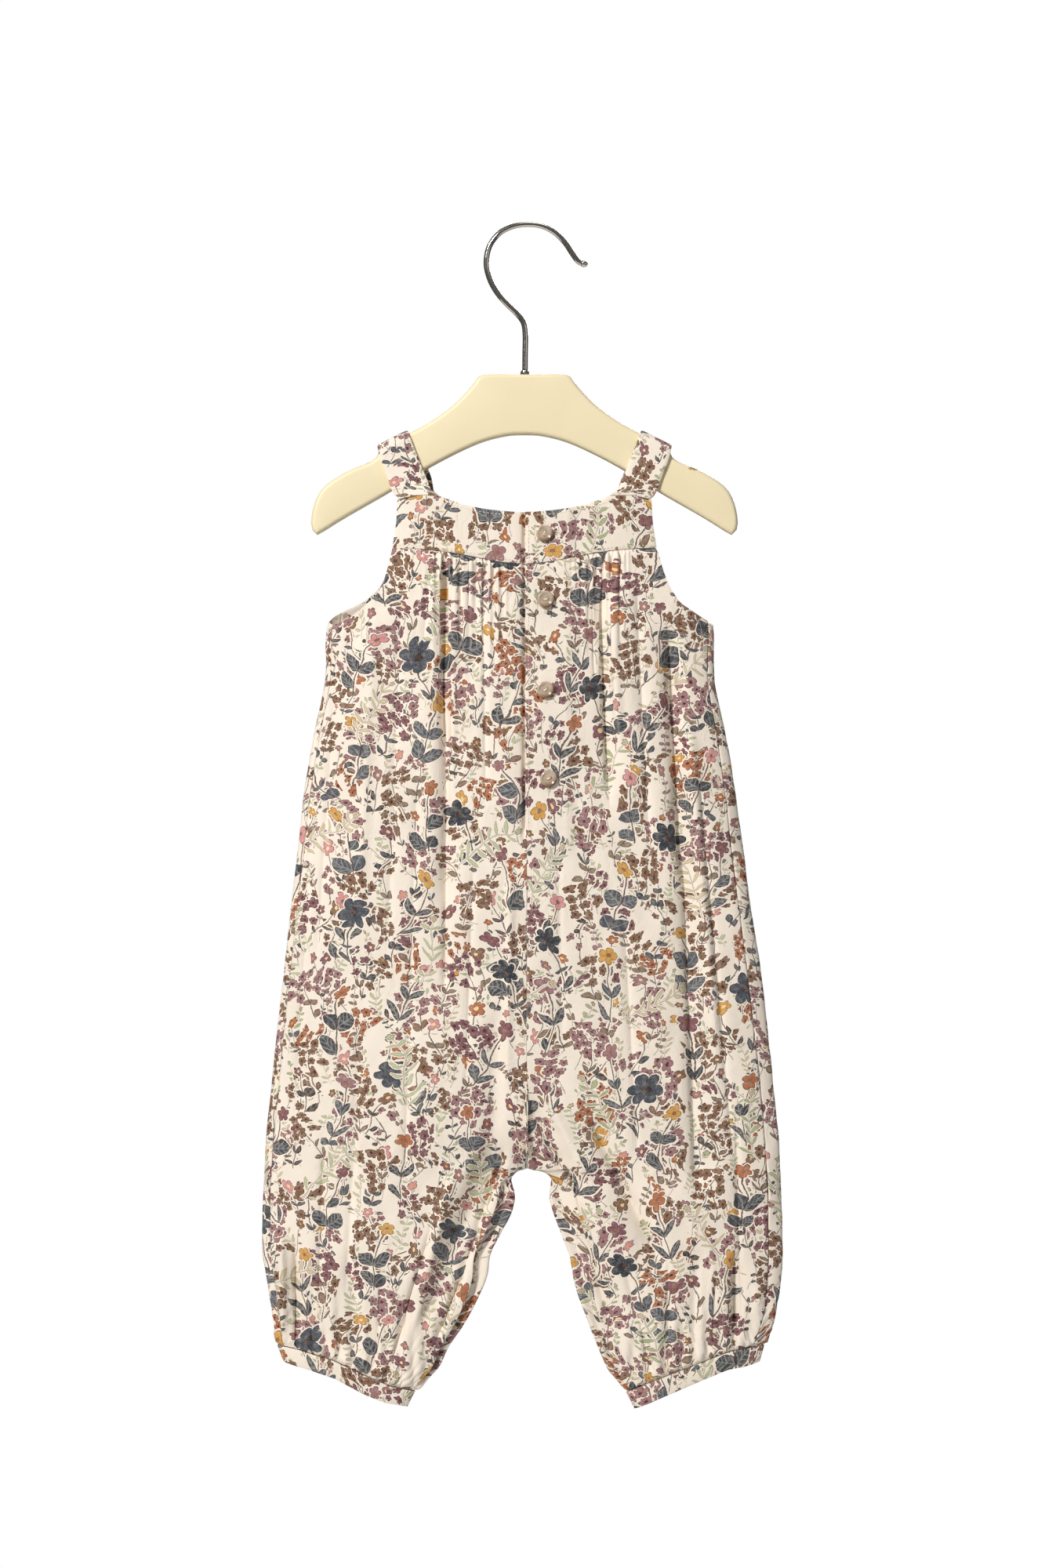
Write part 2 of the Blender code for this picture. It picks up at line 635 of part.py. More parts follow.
def walled(name, outer, inner, gathered, material):
    """A wall between an outer and an inner grid of points. Its rims lie square to the cloth, so
    neighbours keep their seam gap through the whole wall. Rows that aren't gathered use every
    GATHER_COLUMNS-th point."""
    rows, columns = outer.shape[:2]
    used = [range(0, columns, 1 if dense else GATHER_COLUMNS) for dense in gathered]
    mesh = bpy.data.meshes.new(name)
    shape = bmesh.new()
    front = [{j: shape.verts.new(outer[i, j] * MM) for j in used[i]} for i in range(rows)]
    back = [{j: shape.verts.new(inner[i, j] * MM) for j in used[i]} for i in range(rows)]
    for i in range(rows - 1):
        step = 1 if gathered[i] and gathered[i + 1] else GATHER_COLUMNS
        for j in range(0, columns - 1, step):
            above = [k for k in used[i] if j <= k <= j + step]
            below = [k for k in used[i + 1] if j <= k <= j + step]
            for side, turn in ((front, 1), (back, -1)):
                corners = [side[i][k] for k in reversed(above)] + [side[i + 1][k] for k in below]
                shape.faces.new(corners[::turn])
    rim = [(i, 0) for i in range(rows)] + [(rows - 1, j) for j in used[-1][1:]]
    rim += [(i, columns - 1) for i in range(rows - 2, -1, -1)] + [(0, j) for j in used[0][-2:0:-1]]
    for (i, j), (m, n) in zip(rim, rim[1:] + rim[:1]):
        shape.faces.new((front[m][n], front[i][j], back[i][j], back[m][n]))
    shape.to_mesh(mesh)
    shape.free()
    return link_mesh(name, mesh, material)


def outward(grid, facing):
    """The grid with its columns turned round where its faces would point inward."""
    middle = grid[grid.shape[0] // 2]
    half = len(middle) // 2
    across = middle[min(half + 1, len(middle) - 1)] - middle[half - 1]
    down = grid[-1, half] - grid[0, half]
    return grid if np.cross(down, across)[1] * facing > 0 else grid[:, ::-1]


def body_panel(name, face, side, material):
    """A front or back half of the garment with its leg."""
    panel = PANELS[face, side]
    shares = panel_columns(PANEL_COLUMNS[face])
    tops = np.array([panel.top(share) for share in shares])
    feet = np.array([panel.foot(share) for share in shares])
    heights = [tops + band * (ROW_LEVELS[0] - tops) for band in TOP_BAND]
    heights += [np.full(len(shares), level) for level in ROW_LEVELS]
    heights += [ROW_LEVELS[-1] + band * (feet - ROW_LEVELS[-1]) for band in FOOT_BAND]
    heights = np.array(heights)
    rows = np.arange(len(heights))
    gathered = (rows < TOP_GATHER_ROWS) | (rows >= len(rows) - FOOT_GATHER_ROWS)
    outer = panel.at_share(shares[None, :], heights)
    inner = panel.inner_face(shares[None, :], heights, WALL)
    if (face == "front") == (side == LEFT):
        outer, inner = outer[:, ::-1], inner[:, ::-1]
    return walled(name, outer, inner, gathered, material)


def yoke(name, face, start, end, columns, drop, lap, material):
    """A yoke piece between two distances across, from the neckline down to its seam."""
    grid = []
    for share in np.linspace(0, 1, columns):
        place = start + share * (end - start)
        side = LEFT if place < 0 else RIGHT
        sag = drop * ease((STRAP_SEAM_INNER - 1 - abs(place)) / BACK_NECK_EASE)
        top = float(neckline(place)) - sag
        foot = float(yoke_seam(place)) + SEAM_GAP / 2
        column = []
        for band in np.linspace(0, 1, YOKE_ROWS):
            z = top + band * (foot - top)
            lean = YOKE_SIDE_AT(z) / YOKE_SIDE_AT(YOKE_SEAM_SIDE)
            x = place * lean if abs(place) > YOKE_STRAIGHT else place
            column.append(HALVES[face, side].at_x(x, z, lap))
        grid.append(column)
    grid = np.array(grid).transpose(1, 0, 2)
    return lofted(name, outward(grid, -1 if face == "front" else 1), WALL, material)


def button_stand(material):
    """The underlap behind the buttoned edge, from the neckline to the foot of the lap."""
    heights = np.linspace(NECK_LOWEST - STAND_TOP_DROP, LAP_FOOT + LAP_EDGE_FADE, 14)
    across = np.linspace(STAND_SEAM + SEAM_GAP, LAP_WIDTH, 5)
    grid = HALVES["front", RIGHT].at_x(across[None, :], heights[:, None])
    return lofted("button_stand", outward(grid, -1), WALL, material)


def wood_top(away):
    """Height of the hanger's upper edge under a strap."""
    inner, outer = HANGER_HALF[6], HANGER_HALF[7]
    return inner[1] + (away - inner[0]) * (outer[1] - inner[1]) / (outer[0] - inner[0])


def strap_half(face, side):
    """Rows of a strap from its seam on a yoke up to the bend over the hanger."""
    out = -1 if face == "front" else 1
    shift = 0 if face == "front" else BACK_STRAP_SHIFT[side]
    rows = []
    for share in STRAP_ROWS:
        row = []
        for width in STRAP_WIDTHS:
            foot = STRAP_FOOT_INNER + width * (STRAP_FOOT_OUTER - STRAP_FOOT_INNER)
            seam = float(neckline(foot)) + SEAM_GAP
            over = STRAP_TOP_INNER + width * (STRAP_TOP_OUTER - STRAP_TOP_INNER)
            spring = wood_top(over) - STRAP_SHOULDER
            z = seam + share * (spring - seam)
            inner, outer = float(STRAP_INNER_AT(z)), float(STRAP_OUTER_AT(z))
            away = foot if share == 0 else inner + width * (outer - inner)
            away -= shift * math.sin(math.pi * share) * (1 - STRAP_SHIFT_SPREAD * width)
            on_yoke = abs(HALVES[face, side].at_x(side * min(away, STRAP_FOOT_OUTER), seam)[1])
            settle = ease(share / STRAP_SETTLE)
            depth = on_yoke * (1 - settle) + STRAP_FRONT * settle
            row.append((side * away, out * depth, z))
        rows.append(row)
    return rows


def strap_bend(side):
    """Rows of a strap where it bends over the hanger."""
    rows = []
    rise = STRAP_SHOULDER + STRAP_CLEAR + DOUBLE_WALL
    for angle in np.radians(STRAP_BEND_ANGLES):
        row = []
        for width in STRAP_WIDTHS:
            over = STRAP_TOP_INNER + width * (STRAP_TOP_OUTER - STRAP_TOP_INNER)
            spring = wood_top(over) - STRAP_SHOULDER
            inner, outer = float(STRAP_INNER_AT(spring)), float(STRAP_OUTER_AT(spring))
            low = inner + width * (outer - inner)
            away = low + math.sin(angle) * (over - low)
            depth = abs(math.cos(angle)) ** (2 / STRAP_BEND_POWER)
            y = -STRAP_FRONT * math.copysign(depth, math.cos(angle))
            row.append((side * away, y, spring + rise * math.sin(angle)))
        rows.append(row)
    return rows


def strap(name, side, material):
    """A doubled strap from the front yoke, over the hanger, down to the back yoke."""
    grid = np.array(strap_half("front", side) + strap_bend(side) + strap_half("back", side)[::-1])
    if side == RIGHT:
        grid = grid[:, ::-1]
    return lofted(name, grid, DOUBLE_WALL, material)


def cuff_top(side):
    """Points round the hem, where the leg meets its cuff."""
    points = []
    for step in range(CUFF_AROUND):
        turn = 2 * math.pi * (step + 0.5) / CUFF_AROUND
        half = HALVES["front" if turn < math.pi else "back", side]
        share = (1 - math.cos(turn)) / 2
        z = np.arange(FOOT_SEARCH[0], FOOT_SEARCH[1], SEARCH_STEP)
        away = half.look_up(half.away, share, z)
        point = half.points(share, z[z >= hem_height(side, away)].min())
        point[2] = hem_height(side, point[0]) - SEAM_GAP
        points.append(point)
    return np.array(points)


def cuff(name, side, material):
    """A narrow doubled band round the leg's foot, slanted like the hem."""
    (inner_x, inner_z), (outer_x, outer_z) = CUFF[side]
    top = cuff_top(side)
    away = abs(top[:, 0])
    share = (away - away.min()) / np.ptp(away)
    straight = inner_z + share * (outer_z - inner_z)
    parallel = hem_height(side, away) - CUFF_HEIGHT
    at_ends = abs(2 * share - 1) ** 3
    x = side * (inner_x + share * (outer_x - inner_x))
    z = parallel * (1 - at_ends) + straight * at_ends
    foot = np.stack([x, top[:, 1] * CUFF_FOOT_SHARE, z], axis=1)
    grid = np.array([top + (foot - top) * band for band, _ in CUFF_ROWS])
    for row, (_, swell) in zip(grid, CUFF_ROWS):
        row[:, 1] += np.sign(row[:, 1]) * swell
    if side == RIGHT:
        grid = grid[:, ::-1]
    return lofted(name, grid, DOUBLE_WALL, material, closed=True)


def armhole_facing(name, side, material):
    """A strip inside the back along its armhole."""
    rows = np.array(ARMHOLE["back", side])
    half = HALVES["back", side]
    grid = []
    for away in np.linspace(FACING_START, FACING_END, FACING_COLUMNS):
        z = np.interp(away, rows[:, 0], rows[:, 1])
        ahead = np.interp(away + FACING_STEP, rows[:, 0], rows[:, 1])
        behind = np.interp(away - FACING_STEP, rows[:, 0], rows[:, 1])
        across = np.array((ahead - behind, -2 * FACING_STEP))
        across /= np.linalg.norm(across)
        column = []
        for reach in (FACING_INSET, 0.5 * FACING_WIDTH, FACING_WIDTH):
            place = np.array((away, z)) + across * reach
            point = half.at_x(side * place[0], place[1])
            point[1] -= FACING_BEHIND
            column.append(point)
        grid.append(column)
    grid = outward(np.array(grid).transpose(1, 0, 2), 1)
    return lofted(name, grid, FACING_WALL, material)


def turned(name, profile, steps):
    """A mesh object turned about Z from a profile of (radius, height)."""
    mesh = bpy.data.meshes.new(name)
    shape = bmesh.new()
    points = [shape.verts.new((radius * MM, 0, height * MM)) for radius, height in profile]
    for a, b in zip(points, points[1:]):
        shape.edges.new((a, b))
    if profile[0][0] > 0:
        shape.edges.new((points[-1], points[0]))
    shape.to_mesh(mesh)
    shape.free()
    piece = bpy.data.objects.new(name, mesh)
    GARMENT.objects.link(piece)
    screw = piece.modifiers.new("Turn", "SCREW")
    screw.steps = screw.render_steps = steps
    screw.use_merge_vertices = True
    screw.merge_threshold = 1e-5
    return piece


def evaluated_mesh(piece):
    """The mesh that a modelled piece's modifiers give."""
    bpy.context.view_layer.update()
    return bpy.data.meshes.new_from_object(piece.evaluated_get(bpy.context.evaluated_depsgraph_get()))


def button_mesh(material):
    """A dished disc with two thread holes, its back at z = 0."""
    top, rim = BUTTON_THICKNESS, BUTTON_RADIUS
    profile = (
        (0.0, top - BUTTON_DISH_DEPTH),
        (BUTTON_DISH_RADIUS - 0.3, top - BUTTON_DISH_DEPTH),
        (BUTTON_DISH_RADIUS + 0.3, top - 0.1),
        (rim - 0.6, top),
        (rim, top - 0.7),
        (rim - 0.2, 0.7),
        (rim - 1.4, 0.0),
        (0.0, 0.0),
    )
    disc = turned("button_blank", profile, BUTTON_SIDES)
    disc.data.materials.append(material)
    for place in (-0.5, 0.5):
        bpy.ops.mesh.primitive_cylinder_add(
            vertices=BUTTON_HOLE_SIDES, radius=BUTTON_HOLE_RADIUS * MM, depth=4 * BUTTON_THICKNESS * MM,
            location=(place * BUTTON_HOLE_SPACING * MM, 0, 0),
        )
        cutter = bpy.context.object
        cutter.hide_render = True
        cut = disc.modifiers.new("Hole", "BOOLEAN")
        cut.operation = "DIFFERENCE"
        cut.object = cutter
    mesh = evaluated_mesh(disc)
    for modifier in list(disc.modifiers):
        if modifier.type == "BOOLEAN":
            bpy.data.objects.remove(modifier.object, do_unlink=True)
    bpy.data.objects.remove(disc, do_unlink=True)
    mesh.shade_smooth()
    mesh.set_sharp_from_angle(angle=math.radians(35))
    return mesh


def button_place(x, z):
    """The middle of a button's back and the direction it faces, clear of the lap's outer face."""
    steps = np.linspace(-BUTTON_RADIUS, BUTTON_RADIUS, 7)
    across, up = np.meshgrid(steps, steps)
    cloth = HALVES["front", RIGHT].at_x(x + across, z + up, True)[..., 1]
    lean_x = np.sum(cloth * across) / np.sum(across**2)
    lean_z = np.sum(cloth * up) / np.sum(up**2)
    nearest = (cloth - lean_x * across - lean_z * up).min()
    return Vector((x, nearest - SEAM_GAP, z)), Vector((lean_x, -1.0, lean_z))


def buttons(material):
    """The four buttons, each on the lap's outer face."""
    mesh = button_mesh(material)
    for number, (x, z, turn) in enumerate(BUTTONS, 1):
        place, facing = button_place(x, z)
        piece = bpy.data.objects.new(f"button_{number}", mesh)
        GARMENT.objects.link(piece)
        piece.location = place * MM
        upright = facing.to_track_quat("Z", "Y")
        piece.rotation_euler = (upright @ Quaternion((0, 0, 1), math.radians(turn))).to_euler()


def hanger_body(material):
    """A flat wooden shape with rounded edges."""
    curve = bpy.data.curves.new("hanger_body", "CURVE")
    curve.dimensions = "2D"
    curve.fill_mode = "BOTH"
    right = list(HANGER_HALF)
    left = [(-x, z) for x, z in reversed(HANGER_HALF[1:-1])]
    outline = right + left
    spline = curve.splines.new("POLY")
    spline.points.add(len(outline) - 1)
    for point, (x, z) in zip(spline.points, outline):
        point.co = (x * MM, z * MM, 0, 1)
    spline.use_cyclic_u = True
    curve.bevel_depth = HANGER_ROUNDING * MM
    curve.bevel_resolution = 2
    curve.offset = -HANGER_ROUNDING * MM
    curve.extrude = (HANGER_THICKNESS / 2 - HANGER_ROUNDING) * MM
    piece = bpy.data.objects.new("hanger_body", curve)
    GARMENT.objects.link(piece)
    piece.rotation_euler = (math.pi / 2, 0, 0)
    curve.materials.append(material)
    return piece


def catmull_rom(points, count):
    """Points along a smooth curve through the given ones, evenly spaced."""
    points = np.array(points, float)
    padded = np.concatenate([[2 * points[0] - points[1]], points, [2 * points[-1] - points[-2]]])
    fine = []
    for a, b, c, d in zip(padded, padded[1:], padded[2:], padded[3:]):
        for t in np.linspace(0, 1, 12, endpoint=False):
            square, cube = 2 * a - 5 * b + 4 * c - d, 3 * b - a - 3 * c + d
            fine.append(0.5 * (2 * b + (c - a) * t + square * t**2 + cube * t**3))
    fine = np.array(fine + [points[-1]])
    run = np.concatenate([[0], np.cumsum(np.linalg.norm(np.diff(fine, axis=0), axis=1))])
    even = np.linspace(0, run[-1], count)
    return np.stack([np.interp(even, run, column) for column in fine.T], axis=1), even


def hanger_hook(material):
    """The bent wire with a small ball at its free end."""
    route, run = catmull_rom(HOOK_ROUTE, HOOK_POINTS)
    curve = bpy.data.curves.new("hanger_hook", "CURVE")
    curve.dimensions = "3D"
    curve.bevel_depth = HOOK_RADIUS * MM
    curve.bevel_resolution = 2
    curve.use_fill_caps = True
    spline = curve.splines.new("POLY")
    spline.points.add(HOOK_POINTS - 1)
    for point, (x, z), at in zip(spline.points, route, run):
        point.co = (x * MM, 0, z * MM, 1)
        to_end = (run[-1] - at) / (2.2 * HOOK_RADIUS * HOOK_BALL)
        swell = HOOK_BALL * math.sqrt(max(1 - (2 * to_end - 1) ** 2, 0.08)) if to_end < 1 else 1.0
        point.radius = max(swell, 1.0) if to_end > 0.5 else swell
    piece = bpy.data.objects.new("hanger_hook", curve)
    GARMENT.objects.link(piece)
    curve.materials.append(material)
    return piece


def hanger_collar(material):
    """The flared collar at the foot of the hook."""
    collar = turned("hanger_collar", COLLAR_PROFILE, 24)
    collar.location = (HOOK_ROUTE[0][0] * MM, 0, HANGER_HALF[0][1] * MM)
    collar.data.materials.append(material)
    return collar


def finish(name, colour, roughness, metallic=0.0):
    """A plain Principled material."""
    material = bpy.data.materials.new(name)
    material.use_nodes = True
    shader = material.node_tree.nodes["Principled BSDF"]
    shader.inputs["Base Color"].default_value = (*colour, 1.0)
    shader.inputs["Roughness"].default_value = roughness
    shader.inputs["Metallic"].default_value = metallic
    return material


def clear_scene():
    for obj in list(bpy.data.objects):
        bpy.data.objects.remove(obj, do_unlink=True)


def build_overalls():
    cloth = finish("printed_cotton", (0.74, 0.62, 0.5), 0.85)
    cloth_inside = finish("facing_cotton", (0.66, 0.56, 0.46), 0.85)
    pearl = finish("button_resin", (0.5, 0.38, 0.27), 0.3)
    paint = finish("cream_paint", (0.88, 0.77, 0.5), 0.45)
    steel = finish("bright_wire", (0.72, 0.69, 0.64), 0.18, 1.0)

    hanger_body(paint)
    hanger_hook(steel)
    hanger_collar(steel)
    edge = float(YOKE_SIDE_AT(YOKE_SEAM_SIDE))
    yoke("front_yoke_left", "front", -edge, STAND_SEAM, 15, 0, False, cloth)
    yoke("front_yoke_right", "front", LAP_EDGE, edge, 15, 0, True, cloth)
    yoke("back_yoke", "back", -edge, edge, 25, BACK_NECK_DROP, False, cloth)
    button_stand(cloth_inside)
    for side, word in ((LEFT, "left"), (RIGHT, "right")):
        strap(f"strap_{word}", side, cloth)
        body_panel(f"front_{word}", "front", side, cloth)
        body_panel(f"back_{word}", "back", side, cloth)
        cuff(f"cuff_{word}", side, cloth)
        armhole_facing(f"armhole_facing_{word}", side, cloth_inside)
    buttons(pearl)


clear_scene()
GARMENT = bpy.data.collections.new("baby_overalls")
bpy.context.scene.collection.children.link(GARMENT)
build_overalls()
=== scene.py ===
"""Baby overalls of thin printed cotton, hanging by their straps on a painted child's hanger.

Laid out as an add-on and run as a script. X is the wearer's left-right axis as seen from the
front, +Z is up and the front faces -Y. The origin is at the top of the hook, on its inside.
Sizes in the tables are in millimetres. They become metres where the meshes are made.

Every cloth piece is cut from one garment surface: at each height a flat ring with round edges.
Panels are stretches of it, measured along the cloth, with creases and gathers laid on.
"""

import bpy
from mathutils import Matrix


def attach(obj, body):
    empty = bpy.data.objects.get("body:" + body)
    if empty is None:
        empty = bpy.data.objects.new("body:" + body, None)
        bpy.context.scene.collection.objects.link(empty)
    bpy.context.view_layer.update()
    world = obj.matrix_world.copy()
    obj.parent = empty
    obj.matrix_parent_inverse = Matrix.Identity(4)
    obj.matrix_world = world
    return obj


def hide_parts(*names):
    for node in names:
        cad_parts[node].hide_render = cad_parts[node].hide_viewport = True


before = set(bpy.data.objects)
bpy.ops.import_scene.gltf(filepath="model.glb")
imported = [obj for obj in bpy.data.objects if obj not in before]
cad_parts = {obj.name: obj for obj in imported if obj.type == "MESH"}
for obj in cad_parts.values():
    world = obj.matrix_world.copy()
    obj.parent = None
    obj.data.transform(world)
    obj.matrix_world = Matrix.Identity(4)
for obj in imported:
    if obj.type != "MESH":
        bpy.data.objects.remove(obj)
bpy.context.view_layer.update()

import ast
import math

import bmesh
import bpy
import numpy as np
from mathutils import Matrix, Quaternion, Vector

bl_info = {
    "name": "Baby overalls on a hanger",
    "version": (1, 0, 0),
    "blender": (4, 5, 0),
    "location": "3D View > Sidebar > Overalls",
    "description": "Makes the cloth, buttons, hanger and studio of printed baby overalls",
    "category": "Object",
}

MM = 0.001
LEFT, RIGHT = -1, 1  # sides as seen from the front

# Cloth of the solids, between which the thinner cloth of this scene lies
WALL = 1.1  # room that one layer has between its neighbours
DOUBLE_WALL = 2.0  # straps and cuffs, which are doubled
SEAM_GAP = 0.3
SEAM_LINE = 0.08  # what is left open along a panel's seams, where its cloth turns in

# Section shape: a flat ring with round edges
EDGE_POWER = 2.6
SECTION_STEPS = 160
PROBE = 0.5  # step for measuring the surface's slope
HEIGHT_STEP = 0.5
TOP_OF_TABLE = -150.0
FOOT_OF_TABLE = -700.0
TOP_SEARCH = (-240.0, -186.0)  # heights between which a panel's top lies, and its foot
FOOT_SEARCH = (-696.0, -650.0)
SEARCH_STEP = 0.2

# Side edges: distance from the hanger's axis at each height
SIDE_EDGE = (
    # height, left, right
    (-150, 97, 97),
    (-188, 100, 100),
    (-212, 106.5, 105),
    (-232, 115, 110.4),
    (-265, 117.2, 111.6),
    (-300, 123.7, 118.6),
    (-336, 129.8, 124.6),
    (-373, 133.9, 129.3),
    (-431, 140.8, 137.6),
    (-502, 148.6, 146.3),
    (-540, 152.2, 149.6),
    (-574, 153.8, 151.4),
    (-602, 153.3, 151.4),
    (-624, 150, 149.6),
    (-641, 147.2, 146.7),
    (-656, 144.9, 140.6),
    (-670, 138, 134),
    (-700, 120, 120),
)

# Inner edges: distance from the hanger's axis, outward on each side. Above the crotch they are
# the centre seam, 1.4 mm right of the axis.
CENTRE_SEAM = 1.4
CROTCH = -552.7
CROTCH_GAP = 0.1  # more room on each side where the four panels meet
CROTCH_REACH = 14.0
INNER_EDGE = (
    # height, left, right
    (-150, -1.25, 1.55),
    (-552.7, -1.25, 1.55),
    (-553.2, 1.6, 6.6),
    (-554.2, 4.2, 10.6),
    (-556, 6.4, 13.6),
    (-559, 7.6, 15.4),
    (-569, 5.6, 14.6),
    (-579, 7.8, 16.6),
    (-591, 14, 21.6),
    (-602, 19.8, 26.2),
    (-617, 22.4, 28.8),
    (-630, 27.8, 32.4),
    (-644, 35.4, 37.6),
    (-658, 44.8, 43.6),
    (-670, 50.6, 49),
    (-683, 64.4, 59.6),
    (-700, 78, 70),
)

# Half depths of the ring, and how far it closes at its inner edge (0 whole front, 1 leg)
DEPTH = (
    # height, front, back, closing
    (-150, 11.6, 11, 0),
    (-190, 12.4, 11.6, 0),
    (-232, 14, 12.6, 0),
    (-300, 15.2, 13.4, 0),
    (-400, 15.6, 13.8, 0),
    (-480, 15, 13.8, 0),
    (-515, 14.6, 13.6, 0.12),
    (-538, 14.2, 13.4, 0.45),
    (-552.7, 13.8, 13.2, 1),
    (-600, 13.2, 12.8, 1),
    (-640, 12.6, 12.4, 1),
    (-700, 12.6, 12.4, 1),
)
CUFF_DEPTH = 7.4
CUFF_EASE = 34.0  # height over which the leg draws in to the cuff

# How far the back wraps round to the front, along the cloth
WRAP = (
    # height, left side seam, right side seam, left inseam, right inseam
    (-150, 3.5, 3.5, 0, 0),
    (-235, 5, 5, 0, 0),
    (-300, 5.5, 8, 0, 0),
    (-552, 6.5, 10.5, 0, 0),
    (-562, 6.5, 10.5, 9, 13),
    (-600, 6.5, 10.5, 11, 14.5),
    (-640, 6, 9.5, 8, 9.5),
    (-700, 5, 7, 5, 5),
)

# Yoke, neckline and armholes
NECK_LOWEST = -167.8
NECK_RISE = 0.00343  # the neckline is a parabola
STRAP_SEAM_INNER = 49.6
STRAP_SEAM = (
    # distance from the axis, height
    (49.6, -158.6),
    (62, -158.2),
    (74.2, -160.6),
)
BACK_NECK_DROP = 5.0
BACK_NECK_EASE = 18.0
YOKE_ROWS = 30
YOKE_STEP = 0.9
YOKE_STRAIGHT = 40.0  # its columns stand upright out to here, and lean with its side past it
YOKE_SEAM_SIDE = -188.5
YOKE_SEAM_DIP = 9.6
YOKE_SEAM_SPREAD = 40.0
YOKE_SIDE = (
    # height, distance from the axis
    (-158, 74.2),
    (-174, 75.2),
    (-190, 77.6),
)
ARMHOLE = {
    # distance from the axis, height; from the yoke seam to the side edge
    ("front", LEFT): (
        (77.6, -188.7), (79.2, -199), (82.6, -210), (87.9, -217.4), (96.6, -225),
        (103, -230), (109.9, -233), (115, -234),
    ),
    ("front", RIGHT): (
        (77.6, -188.7), (80.5, -200), (85.1, -211.8), (90.9, -220.4), (99.4, -226.2),
        (106, -230.2), (110.4, -232.8),
    ),
    ("back", LEFT): (
        (77.6, -188.7), (80.5, -202.6), (86, -212.3), (94.3, -219.6), (105.8, -225.2),
        (112.2, -228.4), (115, -231.6),
    ),
    ("back", RIGHT): (
        (77.6, -188.7), (80.7, -201), (85.4, -212.2), (91.2, -220.8), (99.8, -226.6),
        (106.2, -230.6), (110.4, -233),
    ),
}
HEM = {
    # distance from the axis, height; where leg and cuff meet
    LEFT: ((40, -684), (64.4, -682.6), (77.7, -679.7), (93.4, -673.2), (111.3, -664.6),
           (133.6, -657.8), (146, -655.4)),
    RIGHT: ((40, -688), (59.1, -683.4), (74.8, -676.6), (98, -667.6), (120.5, -659),
            (142, -655.4)),
}

# The buttoned lap: the right half runs over the left one and over the button stand
LAP_EDGE = 0.5
LAP_FOOT = -362.0
LAP_LIFT = 1.55
LAP_WIDTH = 24.0
LAP_FADE = 8.0
LAP_EDGE_FADE = 4.0
STAND_SEAM = 3.0  # where the left half ends and the button stand starts
STAND_TOP_DROP = 1.6

# Gathers: waves below the yoke and above the cuffs
YOKE_GATHERS = {LEFT: (10.0, 57.0), RIGHT: (27.5, 61.0)}
YOKE_GATHER_ENDS = 6.0  # length over which they die away at each end
YOKE_GATHER_PITCH = {"front": 4.8, "back": 7.6}
YOKE_GATHER_HEIGHT = 1.15
YOKE_GATHER_RISE = 0.45  # share of their height by which they stand out on the whole
YOKE_GATHER_DRIFT = (0.9, 7.3)  # unevenness of their spacing: turns of phase, and its pitch
YOKE_GATHER_REACH = 30.0
CUFF_GATHER_PITCH = 8.4
CUFF_GATHER_HEIGHT = 1.3
CUFF_GATHER_RISE = 0.5
CUFF_GATHER_DRIFT = (1.1, 9.1)
CUFF_GATHER_REACH = 26.0
GATHER_START = 4.0  # they are pressed flat where they enter the seam

# The largest folds. A trough goes in and a ridge out, across a straight line from its top to
# its foot.
FRONT_FOLDS = (
    # top x, top z, foot x, foot z, height, half width
    (-45, -206, -46.5, -400, -2.6, 6.5),
    (-50.5, -204, -53, -380, 1.6, 7),
    (-29.5, -204, -31, -265, -1.6, 3.6),
    (-99, -233, -104, -275, -1.8, 5),
    (46, -212, 51, -318, -2.6, 5),
    (58, -205, 63, -330, 1.6, 8),
    (84.5, -240, 92, -360, -3.6, 6),
    (93, -350, 104, -560, -2.2, 7),
    (-15.5, -462, -19, -545, -2.8, 6),
    (-17, -540, -58, -640, -5, 7.5),
    (-31, -548, -70, -630, 1.8, 8),
    (5, -505, 27, -556, -2.4, 5.5),
    (40, -520, 76, -604, -3.6, 7.5),
    (30, -540, 60, -612, 1.8, 7),
    (-134, -606, -135, -652, -2.6, 4.6),
    (-101, -610, -100, -660, -2.2, 6.5),
    (102, -600, 96, -658, -2.2, 6.5),
    (126, -606, 124, -652, -2, 5.5),
)
BACK_FOLDS = (
    # top x, top z, foot x, foot z, height, half width
    (-38, -206, -44, -392, -2.8, 7),
    (-71, -215, -80, -372, -2.2, 7.5),
    (0, -206, 3, -300, -1.8, 7),
    (36, -206, 42, -366, -2.6, 6.5),
    (74, -220, 86, -420, -2.8, 7.5),
    (-12, -470, -46, -604, -4.2, 8),
    (20, -480, 56, -600, -4, 8),
    (-92, -440, -100, -650, -2.4, 8),
    (98, -430, 100, -650, -2.4, 8),
)
FOLD_FADE = 24.0  # length over which a fold runs out at each end

# Straps
STRAP_EDGES = (
    # height, inner edge, outer edge
    (-161, 49.2, 74.4),
    (-156, 53.6, 77.2),
    (-147, 57.6, 80.4),
    (-137, 61.8, 84.4),
    (-126, 66, 87),
    (-118, 68.4, 86.6),
)
BACK_STRAP_SHIFT = {LEFT: 3.4, RIGHT: 0.6}  # the back end sits nearer the neck
STRAP_FRONT = 8.6  # distance of its outer face from the hanger's middle plane
STRAP_SHOULDER = 4.0  # how far below the wood's top the bend over it starts
STRAP_CLEAR = 0.75
STRAP_BEND_POWER = 4.2
STRAP_TOP_INNER, STRAP_TOP_OUTER = 68.6, 86.6
STRAP_FOOT_INNER, STRAP_FOOT_OUTER = 49.9, 74.0
STRAP_SETTLE = 0.3  # share of its height over which it leaves the yoke's surface
STRAP_SHIFT_SPREAD = 0.3

